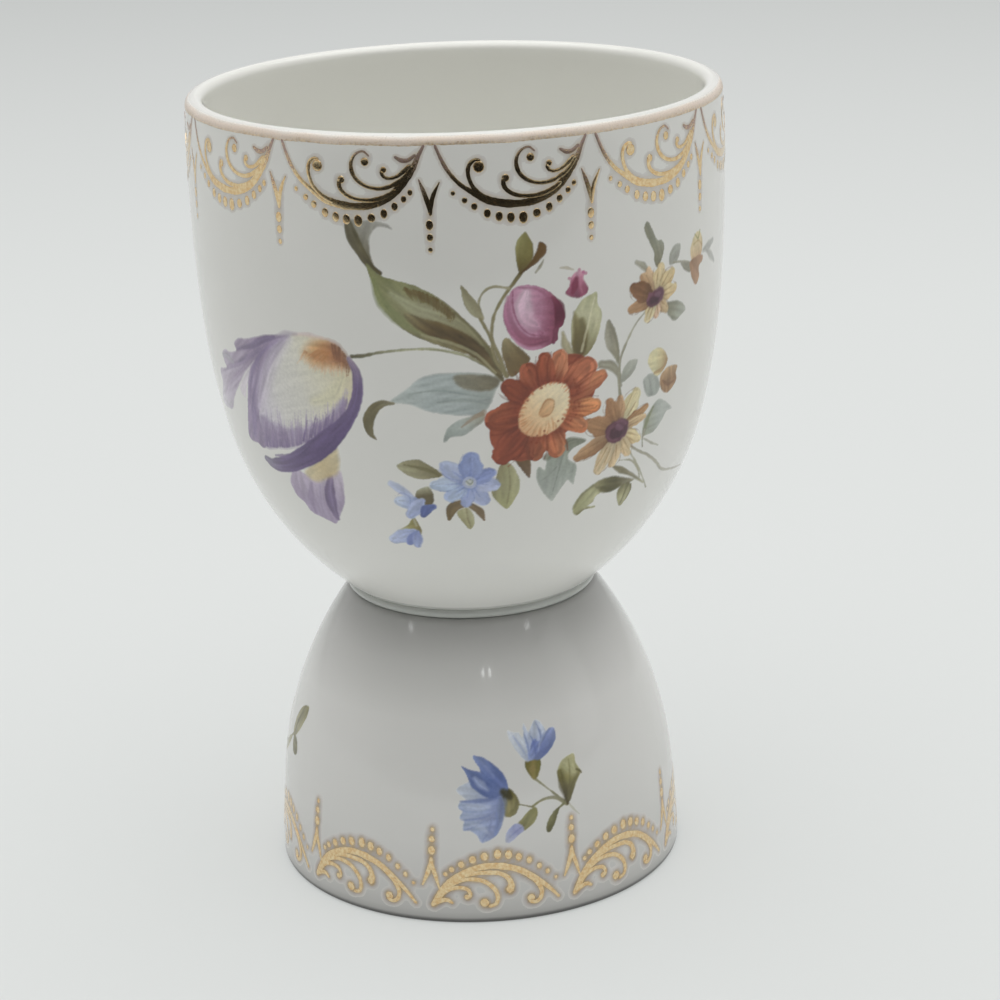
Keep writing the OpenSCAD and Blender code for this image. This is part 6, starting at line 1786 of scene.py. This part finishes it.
def pale_floor():
    """Matt white paper. What is seen of it is evened out, so that it keeps only part of its shades,
    and none where the black cloth lies."""
    material, tree = new_material("white paper")
    paper = add(tree, "ShaderNodeBsdfDiffuse", {"Color": colour(FLOOR_COLOUR)})
    place = add(tree, "ShaderNodeTexCoord").outputs["Object"]
    part = add(tree, "ShaderNodeSeparateXYZ", {0: place})
    fade_start, fade_end = np.array(FLOOR_FADE) * MM
    part_even, all_even = np.array(FLOOR_EVEN) * MM
    far = add(tree, "ShaderNodeMapRange",
              {0: part.outputs["Y"], 1: fade_start, 2: fade_end, 3: 1.0, 4: FLOOR_FAR_LEVEL})
    even = add(tree, "ShaderNodeEmission", {"Color": colour(FLOOR_SEEN), "Strength": far.outputs[0]})
    ray = add(tree, "ShaderNodeLightPath").outputs
    seen = add(tree, "ShaderNodeMath", {0: ray["Is Camera Ray"], 1: ray["Is Glossy Ray"]}, operation="ADD")
    seen = add(tree, "ShaderNodeMath", {0: seen.outputs[0], 1: ray["Is Transmission Ray"]}, operation="ADD")
    evenness = add(tree, "ShaderNodeMapRange",
                   {0: part.outputs["Y"], 1: part_even, 2: all_even, 3: FLOOR_EVENNESS, 4: 1.0})
    share = add(tree, "ShaderNodeMath", {0: seen.outputs[0], 1: evenness.outputs[0]}, operation="MULTIPLY",
                use_clamp=True)
    surface = add(tree, "ShaderNodeMixShader",
                  {0: share.outputs[0], 1: paper.outputs[0], 2: even.outputs[0]})
    add(tree, "ShaderNodeOutputMaterial", {"Surface": surface.outputs[0]})
    turn = np.arange(FLOOR_SIDES) * math.tau / FLOOR_SIDES
    points = [(FLOOR_R * math.cos(a), FLOOR_R * math.sin(a), 0) for a in turn]
    floor = mesh_piece("floor", points, [list(range(FLOOR_SIDES))], material, smooth=False)


def dark_cloth():
    """Black cloth on the floor behind the camera: the gold in front mirrors it and looks black."""
    material, tree = new_material("black cloth")
    surface = add(tree, "ShaderNodeBsdfDiffuse", {"Color": colour(CLOTH_COLOUR)})
    add(tree, "ShaderNodeOutputMaterial", {"Surface": surface.outputs[0]})
    near, far, half = -CLOTH_FRONT, -CLOTH_BACK, CLOTH_HALF
    points = [(-half, far, 1), (half, far, 1), (half, near, 1), (-half, near, 1)]
    cloth = mesh_piece("dark_cloth", points, [(0, 1, 2, 3)], material, smooth=False)
    cloth.visible_camera = False
    cloth.visible_shadow = False


def soft_light(name, place, aim, size, power):
    """A rectangular light at a place in millimetres, turned towards another."""
    data = bpy.data.lights.new(name, "AREA")
    data.shape = "RECTANGLE"
    data.size, data.size_y = size[0] * MM, size[1] * MM
    data.energy = power
    lamp = bpy.data.objects.new(name, data)
    bpy.context.scene.collection.objects.link(lamp)
    lamp.location = Vector(place) * MM
    lamp.rotation_euler = (Vector(aim) - Vector(place)).to_track_quat("-Z", "Y").to_euler()


def studio_world():
    """The room: brighter behind the cup than in front of it."""
    world = bpy.data.worlds.new("studio")
    bpy.context.scene.world = world
    world.use_nodes = True
    tree = world.node_tree
    tree.nodes.clear()
    way = add(tree, "ShaderNodeTexCoord").outputs["Generated"]
    part = add(tree, "ShaderNodeSeparateXYZ", {0: way})
    front = add(tree, "ShaderNodeMapRange",
                {0: part.outputs["Z"], 1: 0.35, 2: 0.95, 3: FRONT_LOW_LEVEL, 4: FRONT_HIGH_LEVEL})
    level = add(tree, "ShaderNodeMapRange",
                {0: part.outputs["Y"], 1: -0.9, 2: 0.5, 3: front.outputs[0], 4: BACK_LEVEL},
                interpolation_type="SMOOTHSTEP")
    light = add(tree, "ShaderNodeBackground", {"Color": colour("#FFFFFF"), "Strength": level.outputs[0]})
    add(tree, "ShaderNodeOutputWorld", {"Surface": light.outputs[0]})


pale_floor()
dark_cloth()
studio_world()
soft_light("top light", (0, 0, 700), (0, 0, 50), (900, 900), 3.5)
soft_light("side light", (600, -200, 250), (0, 0, 50), (260, 400), 0.12)
for number, (place, size, power) in enumerate(WINDOWS):
    soft_light(f"window {number + 1}", place, WINDOW_AIM, size, power)

bpy.context.scene.view_settings.view_transform = "Standard"
